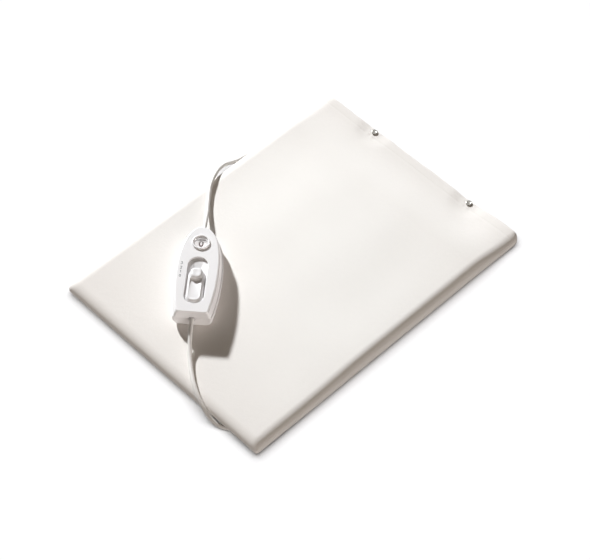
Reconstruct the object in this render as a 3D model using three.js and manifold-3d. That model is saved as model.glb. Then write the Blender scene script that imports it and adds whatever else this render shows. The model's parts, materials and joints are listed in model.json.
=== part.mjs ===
// Heating pad with a slide controller. Millimetres, +Z up, lying on a flat surface.
// Origin: the middle of the pad's underside. +X runs along the long side to the open end of the cover.
// The controller lies on the pad. Its own frame has x from the mains end to the pad end, y to the left
// and z up from its underside.
import * as THREE from 'three';
import { mergeVertices } from 'three/addons/utils/BufferGeometryUtils.js';
import Module from 'manifold-3d';

const wasm = await Module();
wasm.setup();

// Clearances
const GAP = 0.3; // between two pieces that touch
const OVERRUN = 1; // how far a cutter runs past the face that it cuts
const WELD = 0.0001; // corners closer than this are one

// Pad and its cloth cover
const PAD_LENGTH = 400;
const PAD_WIDTH = 295;
const PAD_THICKNESS = 16;
const THIN_PAD = 5.6; // where the stored lead presses the filling flat
const CLOTH = 1.1;
const SEAM_HEIGHT = 7.5; // of the side seam above the floor
const TOP_ROUND = 12; // reach of the rounded top edge
const BOTTOM_ROUND = 7;
const RIM_SHARES = [0, 0.1, 0.33, 0.75, 1.25]; // of TOP_ROUND: surface lines along a rounded edge
const CELL_LENGTH = 22; // spacing of the surface lines between the edges
const CELL_WIDTH = 26;
const MOUTH_LENGTH = 60; // the cover thins to its open end over this length
const MOUTH_FLAT = 10; // flat lips with the press studs
const MOUTH_TOP = 7.2; // height of the open end's upper lip
const MOUTH_RISE = 1.4; // height of the open end's lower lip
const MOUTH_FILLING_LINES = 2; // surface lines between the filling and the open end

// Heating element
const WIRE_DIAMETER = 1.2;
const WIRE_SIDES = 5;
const WIRE_CORNER = 20; // bend where the wire turns into its first and last run
const CORNER_SHARES = [0, 0.35, 0.7, 1]; // of a quarter turn
const TURN_SHARES = [0.25, 0.5, 0.75]; // of a half turn
const TURN_DEPTH_SHARE = 0.7; // of the last cell that a turn of the wire takes up
const LEAD_INSET = 11.2; // from the pad's long edge to the wire that runs beside it
const CUTOUT_RADIUS = 2.3;
const CUTOUT_LENGTH = 10;
const CUTOUT_LEAD = 4; // bare lead at each end of a cut-out
const JUNCTION_LENGTH = 20;
const JUNCTION_WIDTH = 7;
const JUNCTION_HEIGHT = 6;
const JUNCTION_FROM_RUN = 61; // from the wire's last run

// Press studs of the cover
const STUD_SPACING = 146;
const STUD_INSET = 4.4;
const STUD_Y = -0.8; // middle between the two studs
const STUD_CAP_RADIUS = 3.5;
const STUD_CAP_HEIGHT = 1;
const STUD_POST_RADIUS = 0.9;
const STUD_RING_RADIUS = 3;
const STUD_BALL_RADIUS = 1.3;
const STUD_BALL_HEIGHT = 1.5;
const STUD_SEAT = 0.6; // flange thickness of the ball half
const CAP_EDGE_SHARE = 0.6; // of the cap's height at its edge and in its well
const CAP_RIM_SHARE = 0.8; // of the cap's radius at the top of its rim
const CAP_WELL_SHARE = 0.55;
const BALL_NECK_SHARE = 0.6;

// Cord, its hank and its plug
const CORD_DIAMETER = 4.6;
const CORD_SIDES = 8;
const CORD_STEP = 13;
const TURN_GAP = 0.45; // between two turns of the hank
const HANK_X = 45;
const HANK_Y = -66;
const HANK_RUN = 80;
const HANK_FOLD = 15; // radius of the innermost fold
const HANK_PITCH = 6.2;
const HANK_WAIST_SHARE = 0.85;
const HANK_TURNS_IN = 2.5;
const HANK_TURNS_OUT = 2;
const HANK_CLIMB_TURN = 0.25;
const HANK_STEPS = 24;
const HANK_SIDES = 6;
const TIE_WALL = 0.8;
const TIE_WIDTH = 9;
const PLUG_WIDTH = 35;
const PLUG_TAIL_WIDTH = 13;
const PLUG_HEIGHT = 13.7;
const PLUG_LENGTH = 36;
const PLUG_EDGE = 2.4;
const PLUG_SHOULDER = 20; // length of the parallel part behind the pins
const PIN_RADIUS = 2;
const PIN_LENGTH = 19;
const PIN_SPACING = 18.6;
const PIN_ROOT = 5; // how deep a pin sits in the plug
const RELIEF_LENGTH = 24;
const RELIEF_ROOT_RADIUS = 4.8;
const RELIEF_TIP_RADIUS = 3.2;
const RELIEF_RIBS = 5;
const RELIEF_GROOVE = 0.6;
const RIB_SHARE = 0.62; // of one rib and its groove
const PLUG_WAIST_SHARE = 0.75;
const PLUG_X = 5; // where the plug's strain relief starts
const PLUG_Y = 1;

// Hollow that the stored lead makes in the underside, and the rise of the top over it
const HANK_HOLLOW = 12.6;
const HANK_MARGIN = 10;
const HANK_FADE = 36;
const HANK_RISE_FADE = 72;
const PLUG_HOLLOW = 14.2;
const PLUG_MARGIN = 9;
const PLUG_FADE = 60;
const PLUG_RISE_FADE = 80;
const RELIEF_HOLLOW = 12.2;
const RELIEF_LEAD = 10; // of the relief's hollow before the relief
const LEAD_HOLLOW = 5.8;
const LEAD_MARGIN = 13;
const LEAD_FADE = 24;

// Controller housing
const CONTROLLER_FROM_END = 58.7; // from the pad's short edge to the controller's mains end
const CONTROLLER_Y = 11.6;
const CONTROLLER_TURN = 41; // degrees from the pad's long side
const BODY_LENGTH = 118.5;
const BODY_HALF_WIDTH = 26.5;
const WIDEST_X = 55;
const SIDE_RADIUS = 265;
const TIP_POWER = 2.2;
const CORNER_RADIUS = 2.5;
const FRONT_INSET_SHARE = 0.15; // the mains end leans in by this share of what the sides do
const FACE_HEIGHT = 24;
const PARTING_HEIGHT = 11;
const WALL = 2;
const FACE_INSET = 4.6;
const FACE_ROUND = 1.1;
const FACE_EDGE_SHARES = [[2, -0.9], [0.7, -0.3], [0, 0.9]]; // of FACE_ROUND below the face and inwards
const LIP_HEIGHT = 2.2;
const LIP_ROUND = 0.4;
const LIP_LEDGE = 1.3;
const BASE_ROUND = 8;
const BASE_ROUND_STEPS = 4;
const SIDE_STEPS = 5;
const TIP_STEPS = 9;
const CORNER_STEPS = 2;
const ROUND_SIDES = 28; // of large round pieces

// Slide recess, knob and carrier
const RECESS_START = 11.4;
const RECESS_TO_WINDOW = 19.6; // from the recess to the middle of the window
const RECESS_HALF_WIDTH = 10.6;
const RECESS_DEPTH = 2.7;
const RECESS_FLOOR = 1.5;
const ARC_STEPS = 8;
const KNOB_HALF_WIDTH = 7.4;
const KNOB_RISE = 1.3; // of the tongue above the face
const KNOB_EDGE = 0.9;
const KNOB_END_GAP = 0.6;
const NUB_RISE = 4.6; // of the thumb nub, from a little below the tongue's top
const NUB_LENGTH = 14.5;
const NUB_HALF_WIDTH = 6.6;
const SCOOP_SHARES = [0.39, 0.86, 1.1, 0.36]; // of the knob: half length, half width, nub rise, place
const STEM_LENGTH = 10;
const STEM_HALF_WIDTH = 2.4;
const STEM_DEPTH = 4.6; // of the stem below the recess floor
const STEM_SHARE = 0.4; // of the knob's length, from its mains end to the stem
const CARRIER_LENGTH = 15.5;
const CARRIER_HALF_WIDTH = 7;
const CARRIER_HEIGHT = 4.9;

// Rack, pinion and level drum
const LEVEL_STEPS = 3;
const MODULE = 0.8;
const PINION_TEETH = 8;
const TOOTH_TIP = 0.22; // half thicknesses of a tooth, thinned for free running
const TOOTH_ROOT = 0.52;
const PINION_TIP_RADIUS = 3.9;
const PINION_ROOT_RADIUS = 2.2;
const PINION_WIDTH = 2.6;
const WINDOW_FROM_TIP = 25.9; // from the housing's round end to the middle of the window
const DRUM_RADIUS = 8.1;
const DRUM_HALF_WIDTH = 7.2;
const DRUM_HEIGHT = 13.4; // of its axis above the controller's underside
const DRUM_WALL = 1.4;
const DRUM_WEB = 1.6;
const AXLE_RADIUS = 1;
const AXLE_HUB_RADIUS = 2.2;
const CHEEK_WIDTH = 2;
const CHEEK_HALF_LENGTH = 3;
const RACK_WIDTH = 2;
const RACK_DEPTH = 2.2;
const RACK_OVERHANG = 1.4; // of the rack past the drum's axis at rest
const DETENT_NOTCH = 0.8;
const DETENT_RAIL_WIDTH = 1.4;
const DETENT_RAIL_HEIGHT = 3;
const SPRING_THICKNESS = 0.4;
const SPRING_HEIGHT = 2.2;

// Window
const RING_RADIUS = 9.6;
const RING_SEAT_RADIUS = 8.6;
const RING_RISE = 2;
const RING_EDGE_SHARE = 0.6;
const RING_CROWN_SHARES = [0.3, 0.7];
const LENS_RADIUS = 7.6;
const LENS_SEAT = 1; // ledge under the lens
const LENS_EDGE = 0.6;
const LENS_CROWN = 1.5;
const LENS_SHARES = [[0.9, 0.3], [0.6, 0.75], [0.3, 0.95]]; // of the lens's radius and crown

// Board and what it carries
const BOARD_START = 18;
const BOARD_TO_WINDOW = 12.6;
const BOARD_WIDE_END = 35;
const BOARD_HALF_WIDTH = 15;
const BOARD_RIGHT = 7; // reach to the right beside the rack's arm
const BOARD_HEIGHT = 9;
const BOARD_THICKNESS = 1.6;
const BOARD_POST_RADIUS = 2.2;
const BOARD_POST_INSET = 4;
const TRACK_HALF_WIDTH = 0.9;
const TRACK_Y = 1.9;
const TRACK_THICKNESS = 0.35;
const TRACK_MARGIN = 2.5; // of a track past the wiper's reach
const WIPER_THICKNESS = 0.4;
const WIPER_HALF_WIDTH = 3;
const WIPER_LENGTH = 13;
const FUSE_RADIUS = 2.6;
const FUSE_CAP_LENGTH = 5;
const FUSE_GLASS_RADIUS = 2.3;
const FUSE_LENGTH = 20;
const FUSE_X = 30;
const FUSE_Y = 11.8;
const CAPACITOR_LENGTH = 13;
const CAPACITOR_WIDTH = 5;
const CAPACITOR_HEIGHT = 7.5;
const CAPACITOR_X = 26;
const TRIAC_LENGTH = 10;
const TRIAC_WIDTH = 9;
const TRIAC_HEIGHT = 4.2;
const TRIAC_FROM_END = 8; // of the board
const TRIAC_Y = 10.2;
const RESISTOR_RADIUS = 2;
const RESISTOR_SHARE = 0.34; // of the room between the fuse and the triac
const RESISTOR_Y = 11;
const LAMP_RADIUS = 2;
const LAMP_HEIGHT = 5.4;
const LAMP_FROM_END = 4; // of the board
const LAMP_SHARES = [0.6, 0.85];

// Screws, bushes and clamps of the controller
const SCREW_FROM_END = 8.5; // from the mains end to the first two housing screws
const SCREW_TO_WINDOW = 8.6; // from the other two to the middle of the window
const SCREW_YS = [10.2, 13.4];
const SCREW_RADIUS = 1;
const SCREW_HEAD_RADIUS = 1.9;
const SCREW_HEAD_HEIGHT = 1.4;
const SCREW_SINK = 4.5;
const SCREW_LENGTH = 13;
const BOSS_RADIUS = 3.1;
const PILLAR_RADIUS = 2.4;
const BUSH_RADIUS = 3.7;
const BUSH_FLANGE_RADIUS = 4.6;
const BUSH_FLANGE = 1.2;
const BUSH_PROUD = 0.7;
const CLAMP_LENGTH = 4.4;
const CLAMP_HALF_WIDTH = 6.6;
const CLAMP_THICKNESS = 2.4;
const CLAMP_SCREW_Y = 4.9;
const CLAMP_SCREW_RADIUS = 0.9;
const CLAMP_PILLAR_RADIUS = 2;
const CLAMP_SCREW_LENGTH = 7;
const CLAMP_FROM_END = 8; // from the inside of an end wall to the clamp's middle
const POST_SIDES = 12;
const SLEEVE_RADIUS = 4;
const SLEEVE_TIP_RADIUS = 3.1;
const SLEEVE_IN = 12;
const SLEEVE_OUT = 10;
const SLEEVE_X = 61; // where the sleeve crosses the pad's edge
const SLEEVE_TURN = -22; // degrees from the pad's long side
const SLEEVE_RIBS = 3;

// Sizes that follow from those above
const CORD_RADIUS = CORD_DIAMETER / 2;
const LAYER_STEP = CORD_DIAMETER + TURN_GAP;
const PITCH_RADIUS = (MODULE * PINION_TEETH) / 2;
const LEVEL_STEP = (Math.PI * PITCH_RADIUS) / 2; // a quarter turn of the drum for each level
const TRAVEL = LEVEL_STEPS * LEVEL_STEP;
const PAD_TOP = PAD_THICKNESS + GAP;
const CONTROLLER_X = CONTROLLER_FROM_END - PAD_LENGTH / 2;
const WINDOW_X = BODY_LENGTH - WINDOW_FROM_TIP;
const SCREW_XS = [SCREW_FROM_END, WINDOW_X - SCREW_TO_WINDOW];
const RECESS_LENGTH = WINDOW_X - RECESS_TO_WINDOW - RECESS_START;
const RECESS_END = RECESS_START + RECESS_LENGTH;
const RECESS_Z = FACE_HEIGHT - RECESS_DEPTH;
const TRAY_Z = RECESS_Z - RECESS_FLOOR;
const KNOB_START = RECESS_START + KNOB_END_GAP;
const KNOB_LENGTH = RECESS_LENGTH - 2 * KNOB_END_GAP - TRAVEL;
const CARRIER_Z = TRAY_Z - GAP - CARRIER_HEIGHT;
const STEM_X = KNOB_START + KNOB_LENGTH * STEM_SHARE;
const CARRIER_START = STEM_X - (CARRIER_LENGTH - STEM_LENGTH) / 2;
const BOARD_TOP = BOARD_HEIGHT + BOARD_THICKNESS;
const BOARD_END = WINDOW_X - BOARD_TO_WINDOW;
const TRIAC_X = BOARD_END - TRIAC_FROM_END;
const LAMP_X = BOARD_END - LAMP_FROM_END;
const RESISTOR_ROOM = [FUSE_X + FUSE_LENGTH / 2, TRIAC_X - TRIAC_LENGTH / 2];
const RESISTOR_LENGTH = (RESISTOR_ROOM[1] - RESISTOR_ROOM[0]) * RESISTOR_SHARE;
const RESISTOR_X = (RESISTOR_ROOM[0] + RESISTOR_ROOM[1]) / 2;
const TRACK_X = CARRIER_START + (CARRIER_LENGTH + TRAVEL) / 2;
const TRACK_LENGTH = WIPER_LENGTH + TRAVEL + 2 * TRACK_MARGIN;
const RACK_PITCH_Z = DRUM_HEIGHT - PITCH_RADIUS;
const RACK_Y = -DRUM_HALF_WIDTH - PINION_WIDTH + (PINION_WIDTH - RACK_WIDTH) / 2;
const CAPACITOR_Y = RACK_Y - GAP - CAPACITOR_WIDTH / 2; // beside the rack
const HANK_OUTER = HANK_FOLD + HANK_TURNS_IN * HANK_PITCH;
const STUD_X = PAD_LENGTH / 2 - STUD_INSET;

// Colours and finishes
const finish = (color, roughness, metalness = 0) =>
  new THREE.MeshStandardMaterial({ color, roughness, metalness });
const FLEECE = () => finish('#efe8e1', 0.95);
const FELT = () => finish('#e6e0d4', 0.9);
const WHITE_PLASTIC = () => finish('#f1eef0', 0.35);
const SHADED_PLASTIC = () => finish('#e2dfe1', 0.4);
const CORD_PLASTIC = () => finish('#dcd8d2', 0.45);
const NICKEL = () => finish('#b2afa6', 0.3, 1);
const BRASS = () => finish('#c9a95b', 0.35, 1);

// Joins corners that lie in one place and turns every face outwards.
function closed(geometry) {
  geometry.deleteAttribute('normal');
  geometry.deleteAttribute('uv');
  const merged = mergeVertices(geometry, WELD);
  const at = merged.attributes.position;
  const index = Array.from(merged.index.array);
  const [a, b, c] = [new THREE.Vector3(), new THREE.Vector3(), new THREE.Vector3()];
  const kept = [];
  let volume = 0;
  for (let i = 0; i < index.length; i += 3) {
    const corners = index.slice(i, i + 3);
    if (new Set(corners).size < 3) continue;
    kept.push(...corners);
    [a, b, c].forEach((corner, k) => corner.fromBufferAttribute(at, corners[k]));
    volume += a.dot(b.cross(c));
  }
  if (volume < 0) kept.reverse();
  merged.setIndex(kept);
  return merged;
}

function toSolid(geometry) {
  const merged = closed(geometry.clone());
  const mesh = new wasm.Mesh({
    numProp: 3,
    vertProperties: new Float32Array(merged.attributes.position.array),
    triVerts: new Uint32Array(merged.index.array),
  });
  return new wasm.Manifold(mesh);
}

function fromSolid(solid) {
  const mesh = solid.getMesh();
  const geometry = new THREE.BufferGeometry();
  geometry.setAttribute('position', new THREE.BufferAttribute(mesh.vertProperties, 3));
  geometry.setIndex(new THREE.BufferAttribute(mesh.triVerts, 1));
  return geometry;
}

// Joins the added geometries to the first one, then takes the removed ones away.
function shaped(base, added, removed) {
  let solid = toSolid(base);
  added.forEach((geometry) => {
    solid = solid.add(toSolid(geometry));
  });
  removed.forEach((geometry) => {
    solid = solid.subtract(toSolid(geometry));
  });
  return fromSolid(solid);
}

const box = (x0, x1, y0, y1, z0, z1) =>
  new THREE.BoxGeometry(x1 - x0, y1 - y0, z1 - z0).translate((x0 + x1) / 2, (y0 + y1) / 2, (z0 + z1) / 2);

const post = (x, y, z0, z1, radius, sides = POST_SIDES) =>
  new THREE.CylinderGeometry(radius, radius, z1 - z0, sides)
    .rotateX(Math.PI / 2)
    .translate(x, y, (z0 + z1) / 2);

const barAlongX = (x0, x1, y, z, radius, sides = POST_SIDES) =>
  new THREE.CylinderGeometry(radius, radius, x1 - x0, sides)
    .rotateZ(-Math.PI / 2)
    .translate((x0 + x1) / 2, y, z);

const barAlongY = (x, y0, y1, z, radius, sides = POST_SIDES) =>
  new THREE.CylinderGeometry(radius, radius, y1 - y0, sides).translate(x, (y0 + y1) / 2, z);

// A round piece from pairs of radius and height that start and end on the axis or close on themselves.
const turned = (pairs, sides = POST_SIDES) =>
  new THREE.LatheGeometry(pairs.map(([radius, height]) => new THREE.Vector2(radius, height)), sides)
    .rotateX(Math.PI / 2);

const ringProfile = (pairs) => [...pairs, pairs[0]];

// An outline in x and y, raised from z0 to z1.
const slab = (shape, z0, z1, curveSegments = ARC_STEPS) =>
  new THREE.ExtrudeGeometry(shape, { depth: z1 - z0, bevelEnabled: false, curveSegments })
    .translate(0, 0, z0);

function polygon(points) {
  return new THREE.Shape(points.map(([x, y]) => new THREE.Vector2(x, y)));
}

// A long outline with round ends, from x0 to x1.
function oblong(x0, x1, halfWidth) {
  const shape = new THREE.Shape();
  shape.absarc(x0 + halfWidth, 0, halfWidth, Math.PI / 2, (3 * Math.PI) / 2);
  shape.absarc(x1 - halfWidth, 0, halfWidth, -Math.PI / 2, Math.PI / 2);
  return shape;
}

// A solid skinned over rings of equal point counts. The first and last ring are flat and are capped.
function lofted(rings) {
  const count = rings[0].length;
  const flat = rings.flat();
  const index = [];
  for (let r = 0; r + 1 < rings.length; r += 1) {
    for (let i = 0; i < count; i += 1) {
      const a = r * count + i;
      const b = r * count + ((i + 1) % count);
      index.push(a, b, b + count, a, b + count, a + count);
    }
  }
  const cap = (ring, first, turn) => {
    const outline = ring.map((p) => new THREE.Vector2(p.x, p.y));
    const faces = THREE.ShapeUtils.triangulateShape(outline, []);
    faces.forEach(([i, j, k]) => index.push(first + i, first + (turn ? k : j), first + (turn ? j : k)));
  };
  const anticlockwise = THREE.ShapeUtils.area(rings[0].map((p) => new THREE.Vector2(p.x, p.y))) > 0;
  cap(rings[0], 0, anticlockwise);
  cap(rings[rings.length - 1], (rings.length - 1) * count, !anticlockwise);
  const geometry = new THREE.BufferGeometry();
  const positions = flat.flatMap((p) => [p.x, p.y, p.z]);
  geometry.setAttribute('position', new THREE.Float32BufferAttribute(positions, 3));
  geometry.setIndex(index);
  return geometry;
}

// A tube along a smooth curve through the points.
function tube(points, radius, sides, step) {
  const places = points.map(([x, y, z]) => new THREE.Vector3(x, y, z));
  const curve = new THREE.CatmullRomCurve3(places, false, 'centripetal');
  const section = new THREE.Shape();
  section.absarc(0, 0, radius, 0, 2 * Math.PI);
  const steps = Math.max(2, Math.round(curve.getLength() / step));
  return new THREE.ExtrudeGeometry(section, { steps, extrudePath: curve, curveSegments: sides });
}


function named(name, geometry, material) {
  const mesh = new THREE.Mesh(closed(geometry.clone()), material);
  mesh.name = name;
  mesh.geometry.computeVertexNormals();
  return mesh;
}

// Shape of the pad's skin. A fade is 1 on its zone and falls to 0 over its reach.
function fade(distance, reach) {
  const share = THREE.MathUtils.clamp(distance / reach, 0, 1);
  return (1 + Math.cos(Math.PI * share)) / 2;
}

function roundEdge(distance, reach) {
  const share = Math.min(distance / reach, 1);
  return Math.sqrt(Math.max(0, 1 - (1 - share) ** 2));
}
const mix = (a, b, share) => a + (b - a) * share;

const fromBox = (x, y, [x0, x1, y0, y1]) =>
  Math.hypot(Math.max(x0 - x, 0, x - x1), Math.max(y0 - y, 0, y - y1));

function fromLine(x, y, [ax, ay], [bx, by]) {
  const along = ((x - ax) * (bx - ax) + (y - ay) * (by - ay)) / ((bx - ax) ** 2 + (by - ay) ** 2);
  const share = THREE.MathUtils.clamp(along, 0, 1);
  return Math.hypot(x - mix(ax, bx, share), y - mix(ay, by, share));
}

const HANK_BOX = [
  HANK_X - HANK_RUN / 2 - HANK_OUTER - HANK_MARGIN,
  HANK_X + HANK_RUN / 2 + HANK_OUTER + HANK_MARGIN,
  HANK_Y - HANK_OUTER - HANK_MARGIN,
  HANK_Y + HANK_OUTER + HANK_MARGIN,
];
const PLUG_BODY_X = PLUG_X + RELIEF_LENGTH;
const RELIEF_BOX = [
  PLUG_X - RELIEF_LEAD,
  PLUG_BODY_X,
  PLUG_Y - RELIEF_ROOT_RADIUS - HANK_MARGIN,
  PLUG_Y + RELIEF_ROOT_RADIUS + HANK_MARGIN,
];
const PLUG_BOX = [
  PLUG_BODY_X - PLUG_MARGIN,
  PLUG_BODY_X + PLUG_LENGTH + PLUG_MARGIN,
  PLUG_Y - PLUG_WIDTH / 2 - PLUG_MARGIN,
  PLUG_Y + PLUG_WIDTH / 2 + PLUG_MARGIN,
];

const DRAWN_HALF_LENGTH = 200; // half the length of the pad that the routes are drawn on
const CONTROLLER_TIP = -48.8; // up to here a route keeps with the controller

// Moves a route with the pad's end that carries the controller, less and less towards the route's end.
function following(route) {
  const last = route[route.length - 1][0];
  const share = (x) => THREE.MathUtils.clamp((last - x) / (last - CONTROLLER_TIP), 0, 1);
  return route.map(([x, y, z]) => [x + (DRAWN_HALF_LENGTH - PAD_LENGTH / 2) * share(x), y, z]);
}

// The mains lead from the controller's end wall, over the pad's short edge and under it to the hank.
const MAINS_ROUTE = following([
  [-130.7, 20.8, 27.3],
  [-141.3, 11.6, 27.3],
  [-144.3, 9, 27.3],
  [-149.6, 4.4, 26.8],
  [-156.3, -1.8, 24.8],
  [-164, -9.4, 21.4],
  [-172, -18, 19.4],
  [-180, -28, 18.8],
  [-187.5, -38.5, 18.9],
  [-193.8, -49, 18.6],
  [-198.8, -60, 16.6],
  [-201.8, -70, 12.9],
  [-203.2, -79, 8.4],
  [-203, -87.5, 4.6],
  [-200.6, -96, 2.6],
  [-195, -104.5, 2.4],
  [-186, -111.2, 2.4],
  [-174, -114.5, 2.4],
  [-155, -114, 2.4],
  [-125, -109.5, 2.4],
  [-90, -103, 2.4],
  [-55, -98.2, 2.4],
  [-28, -96.6, 2.35],
  [-12, -96.5, 2.3],
  [4.7, -96.5, 2.3],
]);
const MAINS_UNDER = 14; // the place on the route where the lead goes under the pad

// The pad's own cord from the controller's round end, over the long edge and back to the sleeve.
const PAD_CORD_ROUTE = following([
  [-63.6, 79.2, 27.3],
  [-51.9, 89.4, 27.3],
  [-48.8, 92, 27.3],
  [-43.6, 96.5, 26.8],
  [-37, 102.3, 25],
  [-29, 109.4, 21.9],
  [-20, 117.8, 19.5],
  [-10, 127, 18.8],
  [-1, 134.8, 18.8],
  [7, 140.4, 18.9],
  [15.5, 145.3, 18],
  [24.5, 149.9, 15.6],
  [33.9, 153.3, 12.1],
  [38.3, 154.3, 10.3],
  [42.8, 154.2, 8.7],
  [47.2, 153.1, 7.6],
  [51.4, 151.4, 7.5],
]);

// The end of the lead from the hank's upper layer to the plug's strain relief.
const TAIL_ROUTE = [
  [4.7, -38.6, 7.35],
  [-2, -38.6, 7.3],
  [-10, -38.2, 6.6],
  [-19, -34.5, 4.6],
  [-25.4, -27.5, 3],
  [-27.8, -19, 2.5],
  [-25.8, -10.5, 2.5],
  [-20, -3.6, 2.9],
  [-11.5, 0.1, 4.4],
  [-3, 1, 6.3],
  [4.7, 1, 6.85],
];

function hollow(x, y) {
  const under = MAINS_ROUTE.slice(MAINS_UNDER);
  const lead = Math.min(...under.slice(1).map((point, i) => fromLine(x, y, under[i], point)));
  return Math.max(
    HANK_HOLLOW * fade(fromBox(x, y, HANK_BOX), HANK_FADE),
    RELIEF_HOLLOW * fade(fromBox(x, y, RELIEF_BOX), HANK_FADE),
    PLUG_HOLLOW * fade(fromBox(x, y, PLUG_BOX), PLUG_FADE),
    LEAD_HOLLOW * fade(lead - LEAD_MARGIN, LEAD_FADE),
  );
}

function rise(x, y) {
  const overHank = HANK_HOLLOW + THIN_PAD - PAD_THICKNESS;
  const overPlug = PLUG_HOLLOW + THIN_PAD - PAD_THICKNESS;
  return Math.max(
    overHank * fade(fromBox(x, y, HANK_BOX), HANK_RISE_FADE),
    overPlug * fade(fromBox(x, y, PLUG_BOX), PLUG_RISE_FADE),
  );
}

const fromMouth = (x) => PAD_LENGTH / 2 - MOUTH_FLAT - x;
const mouthShare = (x) => 1 - fade(fromMouth(x), MOUTH_LENGTH);
const seamAt = (x) => mix((MOUTH_TOP + MOUTH_RISE) / 2, SEAM_HEIGHT, mouthShare(x));
const rimShare = (x, y, inset, reach) =>
  roundEdge(PAD_LENGTH / 2 + x - inset, reach) * roundEdge(PAD_WIDTH / 2 - Math.abs(y) - inset, reach);

// Heights of the cover's upper and lower skin, or of a skin that lies inset inside them.
function upperSkin(x, y, inset) {
  const full = mix(MOUTH_TOP, PAD_THICKNESS + rise(x, y), mouthShare(x)) - inset;
  return mix(seamAt(x) + GAP / 2, full, rimShare(x, y, inset, TOP_ROUND));
}

function lowerSkin(x, y, inset) {
  const full = Math.max(hollow(x, y), MOUTH_RISE * fade(fromMouth(x), MOUTH_LENGTH / 3)) + inset;
  return mix(seamAt(x) - GAP / 2, full, rimShare(x, y, inset, BOTTOM_ROUND));
}

const middle = (x, y) => (upperSkin(x, y, CLOTH + GAP) + lowerSkin(x, y, CLOTH + GAP)) / 2;

// Surface lines across the pad, close together at a rounded edge.
function surfaceLines(length, cell, bothEdges) {
  const edge = RIM_SHARES.map((share) => share * TOP_ROUND - length / 2);
  const start = edge[edge.length - 1];
  const end = bothEdges ? -start : length / 2 - MOUTH_FLAT;
  const cells = Math.round((end - start) / cell);
  const inner = Array.from({ length: cells - 1 }, (_, i) => mix(start, end, (i + 1) / cells));
  const far = bothEdges ? edge.map((value) => -value).reverse() : [end, length / 2];
  return [...edge, ...inner, ...far];
}

const X_LINES = surfaceLines(PAD_LENGTH, CELL_LENGTH, false);
const Y_LINES = surfaceLines(PAD_WIDTH, CELL_WIDTH, true);
const FILLING_X = X_LINES.slice(RIM_SHARES.length - 1, -MOUTH_FILLING_LINES);
const FILLING_Y = Y_LINES.slice(RIM_SHARES.length - 1, 1 - RIM_SHARES.length);
const INNER_LINES = FILLING_X.slice(1, -1).filter((x, i) => i % 2 === 0);
// An even number of runs, so that both ends of the wire come out beside the junction.
const WIRE_RUNS = INNER_LINES.slice(0, INNER_LINES.length - (INNER_LINES.length % 2));
const JUNCTION_X = WIRE_RUNS[WIRE_RUNS.length - 1] - JUNCTION_FROM_RUN;

// A sheet between two surfaces, each a function that gives a point for a place on the lines.
function sheet(xs, ys, outer, inner) {
  const positions = [];
  [outer, inner].forEach((surface) => xs.forEach((x) => ys.forEach((y) => {
    positions.push(...surface(x, y));
  })));
  const at = (side, i, j) => side * xs.length * ys.length + i * ys.length + j;
  const index = [];
  const quad = (a, b, c, d) => index.push(a, b, c, a, c, d);
  for (let i = 0; i + 1 < xs.length; i += 1) {
    for (let j = 0; j + 1 < ys.length; j += 1) {
      quad(at(0, i, j), at(0, i + 1, j), at(0, i + 1, j + 1), at(0, i, j + 1));
      index.push(at(1, i, j), at(1, i + 1, j + 1), at(1, i + 1, j));
      index.push(at(1, i, j), at(1, i, j + 1), at(1, i + 1, j + 1));
    }
  }
  const [lastX, lastY] = [xs.length - 1, ys.length - 1];
  for (let i = 0; i < lastX; i += 1) {
    quad(at(0, i, 0), at(1, i, 0), at(1, i + 1, 0), at(0, i + 1, 0));
    quad(at(0, i + 1, lastY), at(1, i + 1, lastY), at(1, i, lastY), at(0, i, lastY));
  }
  for (let j = 0; j < lastY; j += 1) {
    quad(at(0, 0, j + 1), at(1, 0, j + 1), at(1, 0, j), at(0, 0, j));
    quad(at(0, lastX, j), at(1, lastX, j), at(1, lastX, j + 1), at(0, lastX, j + 1));
  }
  const geometry = new THREE.BufferGeometry();
  geometry.setAttribute('position', new THREE.Float32BufferAttribute(positions, 3));
  geometry.setIndex(index);
  return geometry;
}

// Moves a place near a rounded edge in by the inset, less and less towards the flat.
function drawnIn(x, y, inset) {
  const pull = (distance) => inset * Math.max(0, 1 - distance / TOP_ROUND);
  return [
    x + pull(PAD_LENGTH / 2 + x),
    y - Math.sign(y) * pull(PAD_WIDTH / 2 - Math.abs(y)),
  ];
}

function skinPanel(skin) {
  const surface = (inset) => (x, y) => {
    const [px, py] = drawnIn(x, y, inset);
    return [px, py, skin(px, py, inset)];
  };
  return sheet(X_LINES, Y_LINES, surface(0), surface(CLOTH));
}

const sleeveTurn = THREE.MathUtils.degToRad(SLEEVE_TURN);

// Lays a piece that is modelled along +X in the side seam, where the pad's cord comes in.
const atSleeve = (geometry) => geometry.rotateZ(sleeveTurn).translate(SLEEVE_X, PAD_WIDTH / 2, SEAM_HEIGHT);

function ribbedTaper(length, rootRadius, tipRadius, ribs, groove) {
  const pairs = [[0, 0]];
  for (let i = 0; i < ribs; i += 1) {
    const [start, end] = [mix(rootRadius, tipRadius, i / ribs), mix(rootRadius, tipRadius, (i + 1) / ribs)];
    pairs.push([start, (length * i) / ribs]);
    pairs.push([end, (length * (i + RIB_SHARE)) / ribs]);
    pairs.push([end - groove, (length * (i + RIB_SHARE)) / ribs]);
    pairs.push([end - groove, (length * (i + 1)) / ribs]);
  }
  pairs.push([0, length]);
  return pairs;
}

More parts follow.
